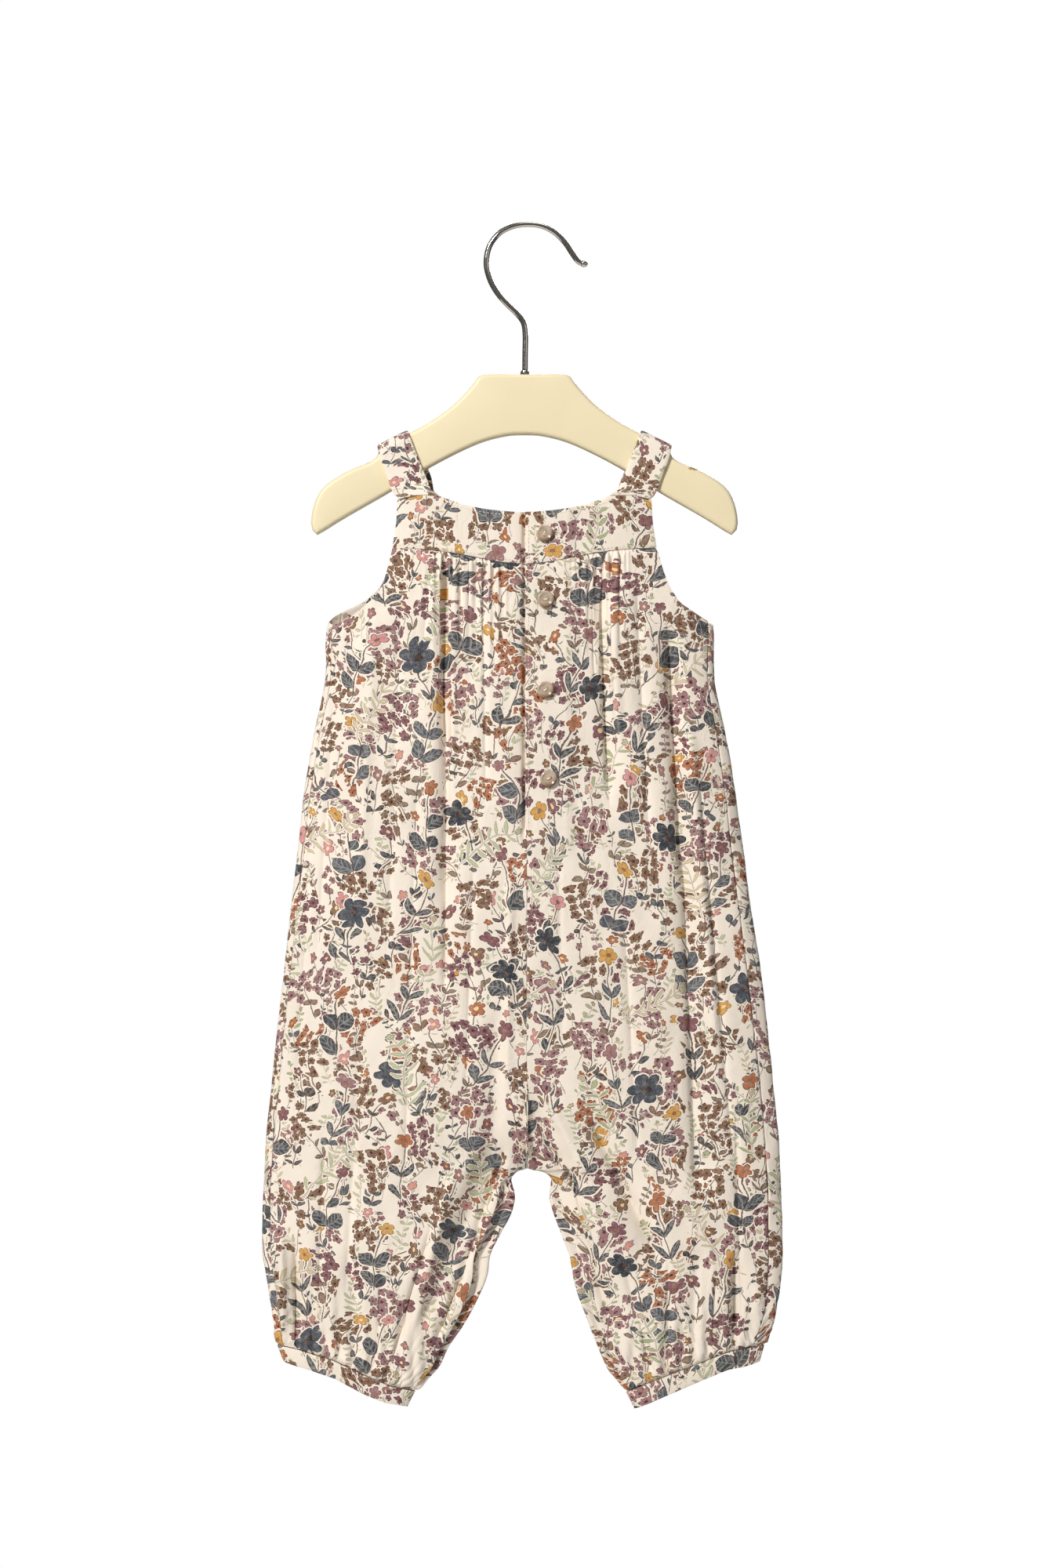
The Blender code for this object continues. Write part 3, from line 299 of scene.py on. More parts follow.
# Cuffs
CUFF = {
    # inner and outer end of the lower edge: distance from the axis and height
    LEFT: ((68.6, -692), (141.4, -665.6)),
    RIGHT: ((64.4, -693.2), (138.2, -665.4)),
}
CUFF_HEIGHT = 10.6
CUFF_FOOT_SHARE = 0.94  # depth of its foot for one at its top

# Armhole facings, on the inside of the back
FACING_WIDTH = 8.5
FACING_WALL = 1.0
FACING_BEHIND = 1.25 * WALL + SEAM_GAP  # the wall is deeper along Y where it slants
FACING_START, FACING_END = 80.4, 105.0
FACING_INSET = 0.4
FACING_STEP = 2.0  # half the length over which the armhole's slope is measured

# Buttons
BUTTONS = (
    # x, z, turn of its two holes in degrees
    (11.7, -180.5, 82),
    (12.4, -219.2, 8),
    (12.2, -271.9, 35),
    (14.1, -323.6, 14),
)
BUTTON_RADIUS = 5.0
BUTTON_THICKNESS = 2.4
BUTTON_DISH_DEPTH = 0.6
BUTTON_HOLE_RADIUS = 0.75
BUTTON_HOLE_SPACING = 2.4

# Hanger
HANGER_THICKNESS = 12.0
HANGER_HALF = (
    # distance from the axis, height; from the top's middle round to the underside's middle
    (0, -86.8), (23.6, -86.8), (28.2, -90.2), (33.4, -96.4), (42.6, -105.6), (55, -114.4),
    (68.3, -121.7), (83, -129), (88, -136.6), (102.4, -143), (114, -149.8),
    (120, -155.8), (123.8, -165), (125, -175.4), (122.6, -180), (119.6, -179.4),
    (105, -170.4), (79.6, -155.8), (60, -143.6), (42, -133.8), (25, -126.2),
    (10, -122.4), (0, -121.9),
)
HANGER_EDGE = 2.4  # rounding of the painted edges
HOOK_RADIUS = 1.65
HOOK_ROUTE = (
    # x, z; the wire's middle, from the collar up and over to its free end
    (0.3, -84.8), (0.4, -74), (0.5, -63), (-0.6, -56), (-4.6, -50.6), (-9.6, -45.8),
    (-15.2, -39.6), (-20, -31.4), (-22.4, -21.6), (-20.6, -11.4), (-14.8, -3.6),
    (-7, 0.4), (1.2, 1.7), (9.4, 0.9), (17, -2.6), (23.6, -8.8), (28.8, -16.6),
    (32.2, -20.6), (36.2, -21.7),
)
HOOK_BALL = 1.28  # the free end swells by this factor
COLLAR_PROFILE = (
    # radius, height above the wood; the outer side from the top down
    (2.05, 2.6), (2.5, 2.2), (2.7, 1), (3.1, 0.3), (2.05, 0.3),
)

# Grids of the smaller cloth pieces
STRAP_ROWS = 26
STRAP_COLUMNS = 17
CUFF_AROUND = 240
CUFF_ROWS = 13

# Paint knocked off the hanger's front edge: x, z, width, height
PAINT_KNOCKS = ((99.8, -141.8, 3.2, 1.3), (-93.4, -138.4, 2.4, 0.9), (121.2, -155.6, 0.7, 3.4))

# Sewing
STITCH_HALF = 0.24  # half the width of a stitch
STITCH_LIFT = 0.06
BUTTONHOLE_PITCH = 0.42
BUTTONHOLES = (
    # x, z, turn of the slit from upright in degrees, half its length
    (14.6, -180.3, 84, 5.6),
    (12.6, -221, 2, 5.8),
    (12.4, -273.6, -2, 5.8),
    (14.2, -325.4, 1, 5.8),
)
THREAD_DRAWN = 0.7  # spacing at which the cloth's threads are drawn
CLOTH_NAME = "screen-printed cotton lawn"
WRONG_SIDE_NAME = "printed cotton lawn, wrong side"
THREAD_NAME = "cream sewing thread"
SIDE_WORD = {LEFT: "left", RIGHT: "right"}

# Studio, in metres
FLOOR_SIZE, FLOOR_HEIGHT = 3.0, -1.15
CAMERA_PLACE = (-0.00115, -2.5, -0.3268)
CAMERA_LENS = 97.8

# Creases that are only in the cloth's face: narrower and shallower than the folds
FRONT_CREASES = (
    # top x, top z, foot x, foot z, height, half width
    (-46.5, -200, -46, -300, -1.7, 2.4),
    (-45, -290, -46.5, -446, -1.3, 2.4),
    (-41, -210, -42.5, -330, 0.7, 2.6),
    (-37.5, -206, -36.5, -240, -0.7, 1.6),
    (-56, -200, -60, -262, -0.5, 2.2),
    (-24, -206, -22.5, -330, -0.5, 2),
    (-72, -214, -80, -420, -0.45, 3.4),
    (-88, -232, -97, -395, 0.5, 4),
    (-110, -250, -121, -420, -0.5, 3.2),
    (-124, -330, -134, -520, -0.45, 2.6),
    (-63, -330, -70, -560, -0.45, 3.4),
    (-30, -380, -34, -500, -0.5, 2.6),
    (-8, -380, -10, -500, 0.5, 2.4),
    (-96, -470, -104, -620, -0.5, 3.2),
    (-118, -540, -121, -650, -0.7, 2.6),
    (-14, -545, -50, -650, -1.8, 2.8),
    (-44, -560, -66, -648, 0.7, 3),
    (-56, -590, -78, -668, -1.1, 2.2),
    (-84, -620, -88, -668, -0.8, 2.4),
    (-134.5, -604, -134, -656, -1.8, 2.2),
    (-142, -590, -141.5, -640, 0.8, 2.2),
    (44.5, -204, 49.5, -330, -1.4, 2.3),
    (39, -206, 41, -262, -0.6, 1.8),
    (51, -206, 55.5, -300, 0.7, 2.4),
    (66, -214, 73, -360, -0.5, 3),
    (85, -246, 92, -376, -1.7, 2.5),
    (93, -364, 101, -560, -1.2, 2.4),
    (97, -300, 112, -480, 0.6, 3.4),
    (103, -330, 122, -540, -0.6, 2.4),
    (124, -520, 127, -640, -0.7, 2.4),
    (20, -370, 22, -470, -0.45, 2.8),
    (58, -400, 66, -540, -0.5, 3.4),
    (5, -520, 31, -566, -1.4, 2),
    (12, -506, 38, -560, 0.7, 2.6),
    (40, -526, 78, -604, -1.4, 2.6),
    (28, -562, 50, -646, -1.3, 2.6),
    (56, -600, 72, -660, -0.7, 2.4),
    (84, -612, 84, -664, -0.8, 2.2),
    (123.5, -606, 123, -650, -1.5, 1.7),
    (112, -616, 110, -656, -0.8, 2),
)
BACK_CREASES = (
    # top x, top z, foot x, foot z, height, half width
    (-40, -206, -43, -330, -1.1, 1.8),
    (-70, -220, -78, -352, -0.9, 2),
    (-20, -204, -22, -300, -0.6, 2.2),
    (-96, -250, -108, -430, 0.6, 3.2),
    (-52, -340, -60, -540, -0.5, 3.2),
    (-14, -480, -42, -590, -1.1, 2),
    (-92, -470, -99, -640, -0.8, 2.2),
    (-124, -480, -130, -640, -0.7, 2.4),
    (8, -206, 9, -280, -0.6, 2),
    (37, -206, 41, -350, -1.1, 1.8),
    (58, -300, 66, -500, 0.6, 3.4),
    (76, -226, 85, -400, -1, 2),
    (100, -300, 112, -470, -0.6, 2.6),
    (22, -490, 53, -592, -1.2, 2),
    (97, -450, 99, -640, -0.8, 2.2),
    (126, -520, 127, -640, -0.8, 2.2),
)

# Soft relief of the cloth. Waves of washed cloth: pitch across, pitch down and height of each
WAVES = ((34, 120, 0.55), (21, 64, 0.34), (12, 31, 0.2), (7, 13, 0.1))
WAVE_WANDER = 1.4
CREASE_SHARE = 3.4  # depth of the creases for one in the tables
UNEVENNESS = 1.15
BACK_GATHERS = (3.0, 64.0)
PUFF = 1.2  # how far the leg stands over its cuff
SEAM_DIP = 0.75  # how deep the gathered cloth sinks where it enters a seam
SINK_WIDTH = 4.5  # the layer under the lap sinks softly beside the lap's edge
LINE_DEPTH, LINE_WIDTH, LINE_SHIFT = 2.8, 1.1, 0.3  # and deeper in a narrow line along it

# Fine gathers, as close together as the real ones
PLEAT_DRIFT = 0.45  # how unevenly they stand, for one pitch
PLEAT_RIDGE = 0.7  # power of a ridge's round shape
PLEAT_LOWEST = 0.45  # share of the full height that the lowest one has
PLEAT_RARITY = 3.0  # how rare the long ones are
PLEAT_START = 1.1
PLEAT_SINK = 0.35  # how deep the cloth sinks between them, for their height
PLEAT_PITCH = {"front": 2.5, "back": 3.6}
PLEAT_HEIGHT = 2.7
PLEAT_LENGTHS = (3.5, 26.0)  # the shortest and the longest
CUFF_PLEAT_PITCH = 4.2
CUFF_PLEAT_HEIGHT = 1.7
CUFF_PLEAT_LENGTHS = (5.0, 26.0)
INSEAM_SINK = 4.0  # the back sinks where it wraps round to the front between the legs
SEAM_GROOVE = 0.12  # how deep the cloth is drawn in along a seam
SEAM_PUCKER = 0.12  # height of the small puckers beside a seam
PUCKER_PITCH = 5.6

# Grid of a panel: rows of its top band, of its middle and of its foot band, and the spacing of
# its columns where it is gathered and elsewhere
TOP_BAND_ROWS, FOOT_BAND_ROWS = 40, 34
TOP_CROWDING, FOOT_CROWDING = 1.35, 1.25  # how much closer the rows stand near a seam
TOP_LEVEL, LEG_LEVEL, FOOT_LEVEL = -262.0, -490.0, -626.0
SHARES_HEIGHT, SHARE_STEPS = -200.0, 800  # where and how finely the columns are laid out
LAP_SHARE, SIDE_SHARE, LAST_GATHERED = 0.03, 0.86, 0.9  # shares of a panel's width
CROTCH_ROWS = (0.0, 0.5, 1.0, 1.6, 3.2, 4.4)  # more rows in the arch between the legs
LEVEL_STEP, LEG_STEP = 5.0, 2.6  # the creases of the legs slant, so their rows are closer
PLEATED_STEP = {"front": 0.46, "back": 0.75}
PLAIN_STEP = {"front": 0.9, "back": 1.35}
LAP_STEP = 0.35  # beside the lap's edge
EDGE_STEP = 0.9  # at the round side edges
ARMHOLE_FROM, ARMHOLE_TO, ARMHOLE_STEP = 74.0, 96.0, 0.45

# Place of the print on each piece: how far its pattern is moved across and up
PRINT_SHIFT = {
    "front_left": (0, 0), "front_right": (231, 74), "back_left": (410, 150),
    "back_right": (655, 33), "front_yoke_left": (120, 515),
    "front_yoke_right": (163, 545), "back_yoke": (340, 620), "button_stand": (77, 260),
    "strap_left": (512, 411), "strap_right": (570, 290), "cuff_left": (610, 730),
    "cuff_right": (31, 905), "armhole_facing_left": (715, 222),
    "armhole_facing_right": (755, 268),
}


def smooth_table(rows):
    """A smooth function of the first column for each other column, through every row."""
    rows = np.array(sorted(rows), float)
    at = rows[:, 0]

    def curve(values):
        slope = np.diff(values) / np.diff(at)
        tangent = np.concatenate([slope[:1], (slope[:-1] + slope[1:]) / 2, slope[-1:]])
        turns = slope[:-1] * slope[1:] <= 0
        tangent[1:-1][turns] = 0

        def value(where):
            where = np.clip(np.asarray(where, float), at[0], at[-1])
            i = np.clip(np.searchsorted(at, where) - 1, 0, len(at) - 2)
            length = at[i + 1] - at[i]
            t = (where - at[i]) / length
            rise = values[i + 1] - values[i]
            a = tangent[i] * length
            b = tangent[i + 1] * length
            return values[i] + t * (a + t * (3 * rise - 2 * a - b + t * (a + b - 2 * rise)))

        return value

    return [curve(column) for column in rows.T[1:]]


def ease(t):
    """0 to 1 with level ends."""
    t = np.clip(t, 0, 1)
    return t * t * (3 - 2 * t)


def edge_round(share):
    """Share of the depth at a share of the width in from a round edge."""
    return np.sqrt(np.clip(1 - (1 - np.clip(share, 0, 1)) ** EDGE_POWER, 0, 1))


SIDE_LEFT, SIDE_RIGHT = smooth_table(SIDE_EDGE)
INNER_LEFT, INNER_RIGHT = smooth_table(INNER_EDGE)
DEPTH_FRONT, DEPTH_BACK, CLOSING = smooth_table(DEPTH)
SIDE_WRAP_LEFT, SIDE_WRAP_RIGHT, INNER_WRAP_LEFT, INNER_WRAP_RIGHT = smooth_table(WRAP)
SIDE_OUT = {LEFT: SIDE_LEFT, RIGHT: SIDE_RIGHT}
INNER_OUT = {LEFT: INNER_LEFT, RIGHT: INNER_RIGHT}
SIDE_WRAP = {LEFT: SIDE_WRAP_LEFT, RIGHT: SIDE_WRAP_RIGHT}
INNER_WRAP = {LEFT: INNER_WRAP_LEFT, RIGHT: INNER_WRAP_RIGHT}
YOKE_SIDE_AT = smooth_table(YOKE_SIDE)[0]
STRAP_INNER_AT, STRAP_OUTER_AT = smooth_table(STRAP_EDGES)
STRAP_SEAM_AT = smooth_table(STRAP_SEAM)[0]


def yoke_seam(x):
    """Height of the seam below the yoke, which dips towards the centre."""
    return YOKE_SEAM_SIDE - YOKE_SEAM_DIP * np.exp(-((np.asarray(x) / YOKE_SEAM_SPREAD) ** 2))


def neckline(x):
    """Height of the yoke's top edge: the neck's curve, then the strap seam."""
    x = np.abs(x)
    return np.where(x < STRAP_SEAM_INNER, NECK_LOWEST + NECK_RISE * x * x, STRAP_SEAM_AT(x))


def fold_depth(folds, x, z, sharp=False):
    """How far the folds lift the cloth outward at (x, z). Sharp troughs have a narrow floor, as
    where two soft folds meet."""
    lift = np.zeros(np.broadcast(x, z).shape)
    for top_x, top_z, foot_x, foot_z, height, half_width in folds:
        length = math.hypot(foot_x - top_x, foot_z - top_z)
        along_x, along_z = (foot_x - top_x) / length, (foot_z - top_z) / length
        along = (x - top_x) * along_x + (z - top_z) * along_z
        across = (x - top_x) * along_z - (z - top_z) * along_x
        ends = ease(along / FOLD_FADE + 0.5) * ease((length - along) / FOLD_FADE + 0.5)
        share = np.abs(across) / half_width
        narrow = sharp and height < 0
        lift = lift + height * ends * np.exp(-1.5 * share if narrow else -(share**2))
    return lift


def lap_lift(x, z):
    """How far the buttoned lap stands in front of what it covers."""
    across = ease((LAP_WIDTH + LAP_FADE - x) / LAP_FADE)
    return LAP_LIFT * across * ease((z - LAP_FOOT) / LAP_FADE + 1)


def gather_fade(away, reach):
    """Share of the gathers' height at a distance from their seam."""
    rise = ease(away / GATHER_START) * np.exp(-np.clip(away - GATHER_START, 0, None) / reach)
    return rise * ease(3.0 - 1.2 * away / reach)


def gathers(face, side, x, z, hem):
    """Waves of the gathered cloth below the yoke and above the cuffs."""
    away = np.abs(x)
    below = yoke_seam(x) - z
    start, end = YOKE_GATHERS[side] if face == "front" else YOKE_GATHERS[LEFT]
    window = ease((away - start) / YOKE_GATHER_ENDS) * ease((end - away) / YOKE_GATHER_ENDS)
    fade = gather_fade(below, YOKE_GATHER_REACH)
    drift, pitch = YOKE_GATHER_DRIFT
    phase = 2 * math.pi * away / YOKE_GATHER_PITCH[face] + drift * np.sin(away / pitch)
    top = YOKE_GATHER_HEIGHT * window * fade * (YOKE_GATHER_RISE + np.sin(phase))
    above = z - hem
    fade = gather_fade(above, CUFF_GATHER_REACH)
    drift, pitch = CUFF_GATHER_DRIFT
    phase = 2 * math.pi * away / CUFF_GATHER_PITCH + drift * np.sin(away / pitch + side)
    return top + CUFF_GATHER_HEIGHT * fade * (CUFF_GATHER_RISE + np.sin(phase))


def hem_height(side, x):
    """Height of the seam between leg and cuff."""
    rows = np.array(HEM[side])
    return np.interp(np.abs(x), rows[:, 0], rows[:, 1])


OUTWARD = {"front": -1, "back": 1}
DEPTH = {"front": DEPTH_FRONT, "back": DEPTH_BACK}
FOLDS = {"front": FRONT_FOLDS, "back": BACK_FOLDS}
CREASES = {"front": FRONT_CREASES, "back": BACK_CREASES}
GATHERS = {
    (face, side): YOKE_GATHERS[side] if face == "front" else BACK_GATHERS
    for face in OUTWARD for side in (LEFT, RIGHT)
}


class HalfSection:
    """One face of one half of the garment: points by height and by length along the cloth."""

    def __init__(self, face, side):
        self.face, self.side = face, side
        self.out = OUTWARD[face]
        self.heights = np.arange(FOOT_OF_TABLE, TOP_OF_TABLE + HEIGHT_STEP / 2, HEIGHT_STEP)
        share = (1 - np.cos(np.linspace(0, math.pi, SECTION_STEPS + 1))) / 2
        inner = INNER_OUT[side](self.heights)[:, None]
        width = SIDE_OUT[side](self.heights)[:, None] - inner
        closing = CLOSING(self.heights)[:, None]
        away = inner + share * width
        depth = DEPTH[face](self.heights)[:, None] * edge_round(1 - share)
        depth = depth * (1 - closing + closing * edge_round(share))
        steps = np.hypot(np.diff(away, axis=1), np.diff(depth, axis=1))
        run = np.concatenate([np.zeros((len(away), 1)), np.cumsum(steps, axis=1)], axis=1)
        self.length = run[:, -1]
        even = np.linspace(0, 1, SECTION_STEPS + 1)
        self.away = np.array([np.interp(even, r / r[-1], a) for r, a in zip(run, away)])
        self.depth = np.array([np.interp(even, r / r[-1], d) for r, d in zip(run, depth)])

    def arc_length(self, z):
        return np.interp(z, self.heights, self.length)

    def look_up(self, grid, share, z):
        row = np.clip((np.asarray(z) - FOOT_OF_TABLE) / HEIGHT_STEP, 0, len(self.heights) - 1.001)
        column = np.clip(np.asarray(share), 0, 1) * (SECTION_STEPS - 0.001)
        i, j = row.astype(int), column.astype(int)
        a, b = row - i, column - j
        low = grid[i, j] * (1 - b) + grid[i, j + 1] * b
        high = grid[i + 1, j] * (1 - b) + grid[i + 1, j + 1] * b
        return low * (1 - a) + high * a

    def points(self, share, z, lap=False):
        """Points of the outer surface at a share of the arc from the inner edge outward."""
        share, z = np.broadcast_arrays(np.asarray(share, float), np.asarray(z, float))
        x = self.side * self.look_up(self.away, share, z)
        depth = self.look_up(self.depth, share, z)
        return self.dressed(x, depth, z, lap)

    def dressed(self, x, depth, z, lap):
        """Adds the cuff's draw, the folds and the gathers to the plain section."""
        hem = hem_height(self.side, x)
        draw = ease((z - hem) / CUFF_EASE)
        full = DEPTH[self.face](z)
        depth = depth * (draw + (1 - draw) * CUFF_DEPTH / full)
        relief = fold_depth(FOLDS[self.face], x, z) + gathers(self.face, self.side, x, z, hem)
        below_yoke = ease((yoke_seam(x) - z) / GATHER_START)
        relief = relief * below_yoke * ease((z - hem) / GATHER_START) * ease(depth / full * 1.6)
        depth = depth + relief
        if lap:
            depth = depth + lap_lift(x, z)
        return np.stack([x, self.out * depth, z], axis=-1)

    def at_x(self, x, z, lap=False):
        """Points of the outer surface above the crotch, by their place seen from the front."""
        x, z = np.broadcast_arrays(np.asarray(x, float), np.asarray(z, float))
        inner, outer = INNER_OUT[self.side](z), SIDE_OUT[self.side](z)
        full = DEPTH[self.face](z)
        depth = full * edge_round(1 - (self.side * x - inner) / (outer - inner))
        return self.dressed(x, depth, z, lap)


HALVES = {
    (face, side): HalfSection(face, side) for face in OUTWARD for side in (LEFT, RIGHT)
}
OTHER_FACE = {"front": "back", "back": "front"}


class Panel:
    """A front or back half of the garment with its leg, by share of its width and height."""

    def __init__(self, face, side):
        self.face, self.side = face, side
        self.lap = face == "front" and side == RIGHT
        self.own, self.other = HALVES[face, side], HALVES[OTHER_FACE[face], side]

    def span(self, z):
        """First and last length along the cloth at height z, from the half section's inner edge."""
        length = self.own.arc_length(z)
        side_wrap, inner_wrap = SIDE_WRAP[self.side](z), INNER_WRAP[self.side](z)
        # The centre seam's gap is in INNER_EDGE.
        closing_gap = CLOSING(z) * SEAM_GAP / 2 - (SEAM_GAP - SEAM_LINE) / 2
        closing_gap = closing_gap + CROTCH_GAP * ease(1 - abs(z - CROTCH) / CROTCH_REACH)
        if self.face == "back":
            return closing_gap - inner_wrap, length + side_wrap - SEAM_LINE / 2
        above_lap_foot = ease((z - LAP_FOOT - LAP_EDGE_FADE) / LAP_EDGE_FADE)
        reach_over = LAP_EDGE - CENTRE_SEAM if self.lap else CENTRE_SEAM - STAND_SEAM
        first = inner_wrap + closing_gap + above_lap_foot * reach_over
        return first, length - side_wrap - SEAM_LINE / 2

    def at_reach(self, reach, z):
        """Points at a length along the cloth. Past the side edge, and before the inner edge of a
        leg, they run on round to the other face."""
        length, other_length = self.own.arc_length(z), self.other.arc_length(z)
        points = self.own.points(reach / length, z, self.lap)
        past = (reach > length)[..., None]
        before = ((reach < 0) & (z < CROTCH))[..., None]
        points = np.where(past, self.other.points(1 - (reach - length) / other_length, z), points)
        points = np.where(before, self.other.points(-reach / other_length, z), points)
        over = ((reach < 0) & (z >= CROTCH))[..., None]
        inner = INNER_OUT[self.side](z)
        return np.where(over, self.own.at_x(self.side * (inner + reach), z, self.lap), points)

    def at_share(self, share, z):
        share, z = np.broadcast_arrays(np.asarray(share, float), np.asarray(z, float))
        first, last = self.span(z)
        return self.at_reach(first + share * (last - first), z)

    def top(self, share):
        """Height where a column meets the yoke seam or the armhole."""
        z = np.arange(TOP_SEARCH[0], TOP_SEARCH[1], SEARCH_STEP)
        away = np.abs(self.at_share(share, z)[:, 0])
        rows = np.array(ARMHOLE[self.face, self.side])
        armhole = np.interp(away, rows[:, 0], rows[:, 1])
        limit = np.where(away < rows[0, 0], yoke_seam(away), armhole)
        first, last = self.span(z)
        past = first + share * (last - first) - self.own.arc_length(z)
        limit = np.where(past > 0, rows[-1, 1] - past / 3, limit)
        return z[z <= limit].max() - SEAM_LINE / 2

    def foot(self, share):
        """Height where a column meets the cuff."""
        z = np.arange(FOOT_SEARCH[0], FOOT_SEARCH[1], SEARCH_STEP)
        away = np.abs(self.at_share(share, z)[:, 0])
        return z[z >= hem_height(self.side, away)].min() + SEAM_LINE / 2


PANELS = {key: Panel(*key) for key in HALVES}


def chance(number, seed):
    """An even spread of values from 0 to 1, the same for the same number and seed."""
    return np.mod(np.sin(number * 12.9898 + seed * 78.233) * 43758.5453, 1.0)


def drifting(x, pitch, seed):
    """A smooth wandering value from -1 to 1 along x."""
    at = np.asarray(x) / pitch
    low = np.floor(at)
    t = ease(at - low)
    return (chance(low, seed) * (1 - t) + chance(low + 1, seed) * t) * 2 - 1


def unevenness(x, z, seed):
    """Soft waves of cloth that has been washed and hung: long upright ones and small ones."""
    lift = 0
    for number, (across, down, height) in enumerate(WAVES):
        turn = 2 * math.pi * chance(number, seed)
        lean = (chance(number, seed + 9) - 0.5) * 0.5
        wander = WAVE_WANDER * drifting(z, down * 0.7, seed + number)
        phase = 2 * math.pi * (x / across + lean * z / down) + wander + turn
        strength = 0.55 + 0.45 * drifting(x * 0.7 + z * 0.4, down, seed + 20 + number)
        lift = lift + height * strength * np.sin(phase) * np.cos(2 * math.pi * z / down + turn)
    return lift


def pleats(run, away_from_seam, pitch, height, lengths, seed):
    """Small pleats side by side, each with its own height and length. run is the distance along
    the seam."""
    place = run / pitch + PLEAT_DRIFT * drifting(run, pitch * 3.1, seed)
    number = np.floor(place)
    ridge = np.sin(math.pi * (place - number)) ** PLEAT_RIDGE
    own = PLEAT_LOWEST + (1 - PLEAT_LOWEST) * chance(number, seed + 1)
    shortest, longest = lengths
    length = shortest + (longest - shortest) * chance(number, seed + 2) ** PLEAT_RARITY
    start = ease(away_from_seam / PLEAT_START)
    return height * start * (
        own * ridge * np.exp(-away_from_seam / length)
        - PLEAT_SINK * np.exp(-away_from_seam / shortest)
    )


def beside_lap(x, z):
    """How far the layer under the buttoned lap sinks beside the lap's edge."""
    along = ease((z - LAP_FOOT) / 10)
    soft = np.exp(-(((x - LAP_EDGE) / SINK_WIDTH) ** 2))
    line = np.exp(-(((x - LAP_EDGE + LINE_SHIFT) / LINE_WIDTH) ** 2))
    return along * (soft + LINE_DEPTH * line)


def fine_relief(panel, reach, x, z):
    """Creases, pleats, seams and unevenness of a panel, square to its surface."""
    face, side = panel.face, panel.side
    first, last = panel.span(z)
    below, above = yoke_seam(x) - z, z - hem_height(side, x)
    on_yoke = ease((YOKE_SIDE[-1][1] - np.abs(x)) / 3)
    below = np.clip(below, 0, None) + 20 * (1 - on_yoke)
    above = np.clip(above, 0, None)
    away = np.abs(x)
    start, end = GATHERS[face, side]
    window = ease((away - start + 3) / 5) * ease((end + 3 - away) / 5)
    seed = 3 + 7 * side + (11 if face == "back" else 0)
    creases = fold_depth(CREASES[face], x, z, True)
    lift = CREASE_SHARE * creases + UNEVENNESS * unevenness(x, z, seed)
    pleat = pleats(away, below, PLEAT_PITCH[face], PLEAT_HEIGHT, PLEAT_LENGTHS, seed)
    lift = lift + window * pleat
    lift = lift + pleats(
        reach, above, CUFF_PLEAT_PITCH, CUFF_PLEAT_HEIGHT, CUFF_PLEAT_LENGTHS, seed + 5
    )
    lift = lift + PUFF * ease(above / 3) * np.exp(-above / 10)
    for number, edge in enumerate((reach - first, last - reach)):
        near = np.exp(-np.clip(edge, 0, None) / 1.1)
        puckers = np.sin(2 * math.pi * z / PUCKER_PITCH + 3 * drifting(z, 17.0, seed + 30 + number))
        lift = lift - SEAM_GROOVE * near
        lift = lift + SEAM_PUCKER * puckers * np.exp(-np.clip(edge, 0, None) / 3.2)
    if face == "back":
        lift = lift - INSEAM_SINK * ease(-reach / 5) * ease((CROTCH - z) / 14) * ease(above / 12)
    lap_is_flat = ease((LAP_WIDTH + 4 - x) / 6) * ease((z - LAP_FOOT) / 6) * ease((x + 2) / 2)
    if panel.lap:
        lift = lift * (1 - 0.8 * lap_is_flat)
    calm = ease(below / 1.4) * ease(above / 1.6)
    lift = lift * (0.1 + 0.9 * calm)
    lift = lift - SEAM_DIP * (np.exp(-below / 0.9) * on_yoke + 0.5 * np.exp(-above / 0.9))
    if face == "front" and side == LEFT:
        lift = lift - beside_lap(x, z)
    return lift


def moved_out(points, lift, outward):
    """The points moved square to their surface. outward is a rough direction for each point."""
    across, down = np.gradient(points, axis=1), np.gradient(points, axis=0)
    square = np.cross(across, down)
    square /= np.maximum(np.linalg.norm(square, axis=-1), 1e-9)[..., None]
    square *= np.sign(np.sum(square * outward))
    return points + square * np.asarray(lift)[..., None]


def front_or_back(points):
    """A rough outward direction for each point of the garment: away from its middle plane."""
    away = np.zeros_like(points)
    away[..., 1] = points[..., 1]
    return away


def panel_shares(panel):
    """Shares of a panel's width, close together where it is gathered and at its round edges."""
    z = np.array(SHARES_HEIGHT)
    shares = np.linspace(0, 1, SHARE_STEPS)
    first, last = panel.span(z)
    x = np.abs(panel.at_share(shares, z)[:, 0])
    start, end = GATHERS[panel.face, panel.side]
    gathered = (x > start - 3) & (x < end + 3) & (shares < LAST_GATHERED)
    step = np.where(gathered, PLEATED_STEP[panel.face], PLAIN_STEP[panel.face])
    at_edge = (shares > SIDE_SHARE) | (shares < LAP_SHARE)
    step = np.where(at_edge, np.minimum(step, EDGE_STEP), step)
    step = np.where(shares < LAP_SHARE, np.minimum(step, LAP_STEP), step)
    step = np.where((x > ARMHOLE_FROM) & (x < ARMHOLE_TO), np.minimum(step, ARMHOLE_STEP), step)
    density = (last - first) / step
    run = np.concatenate([[0], np.cumsum((density[1:] + density[:-1]) / 2 * np.diff(shares))])
    count = int(run[-1]) + 1
    return np.interp(np.linspace(0, run[-1], count), run, shares)


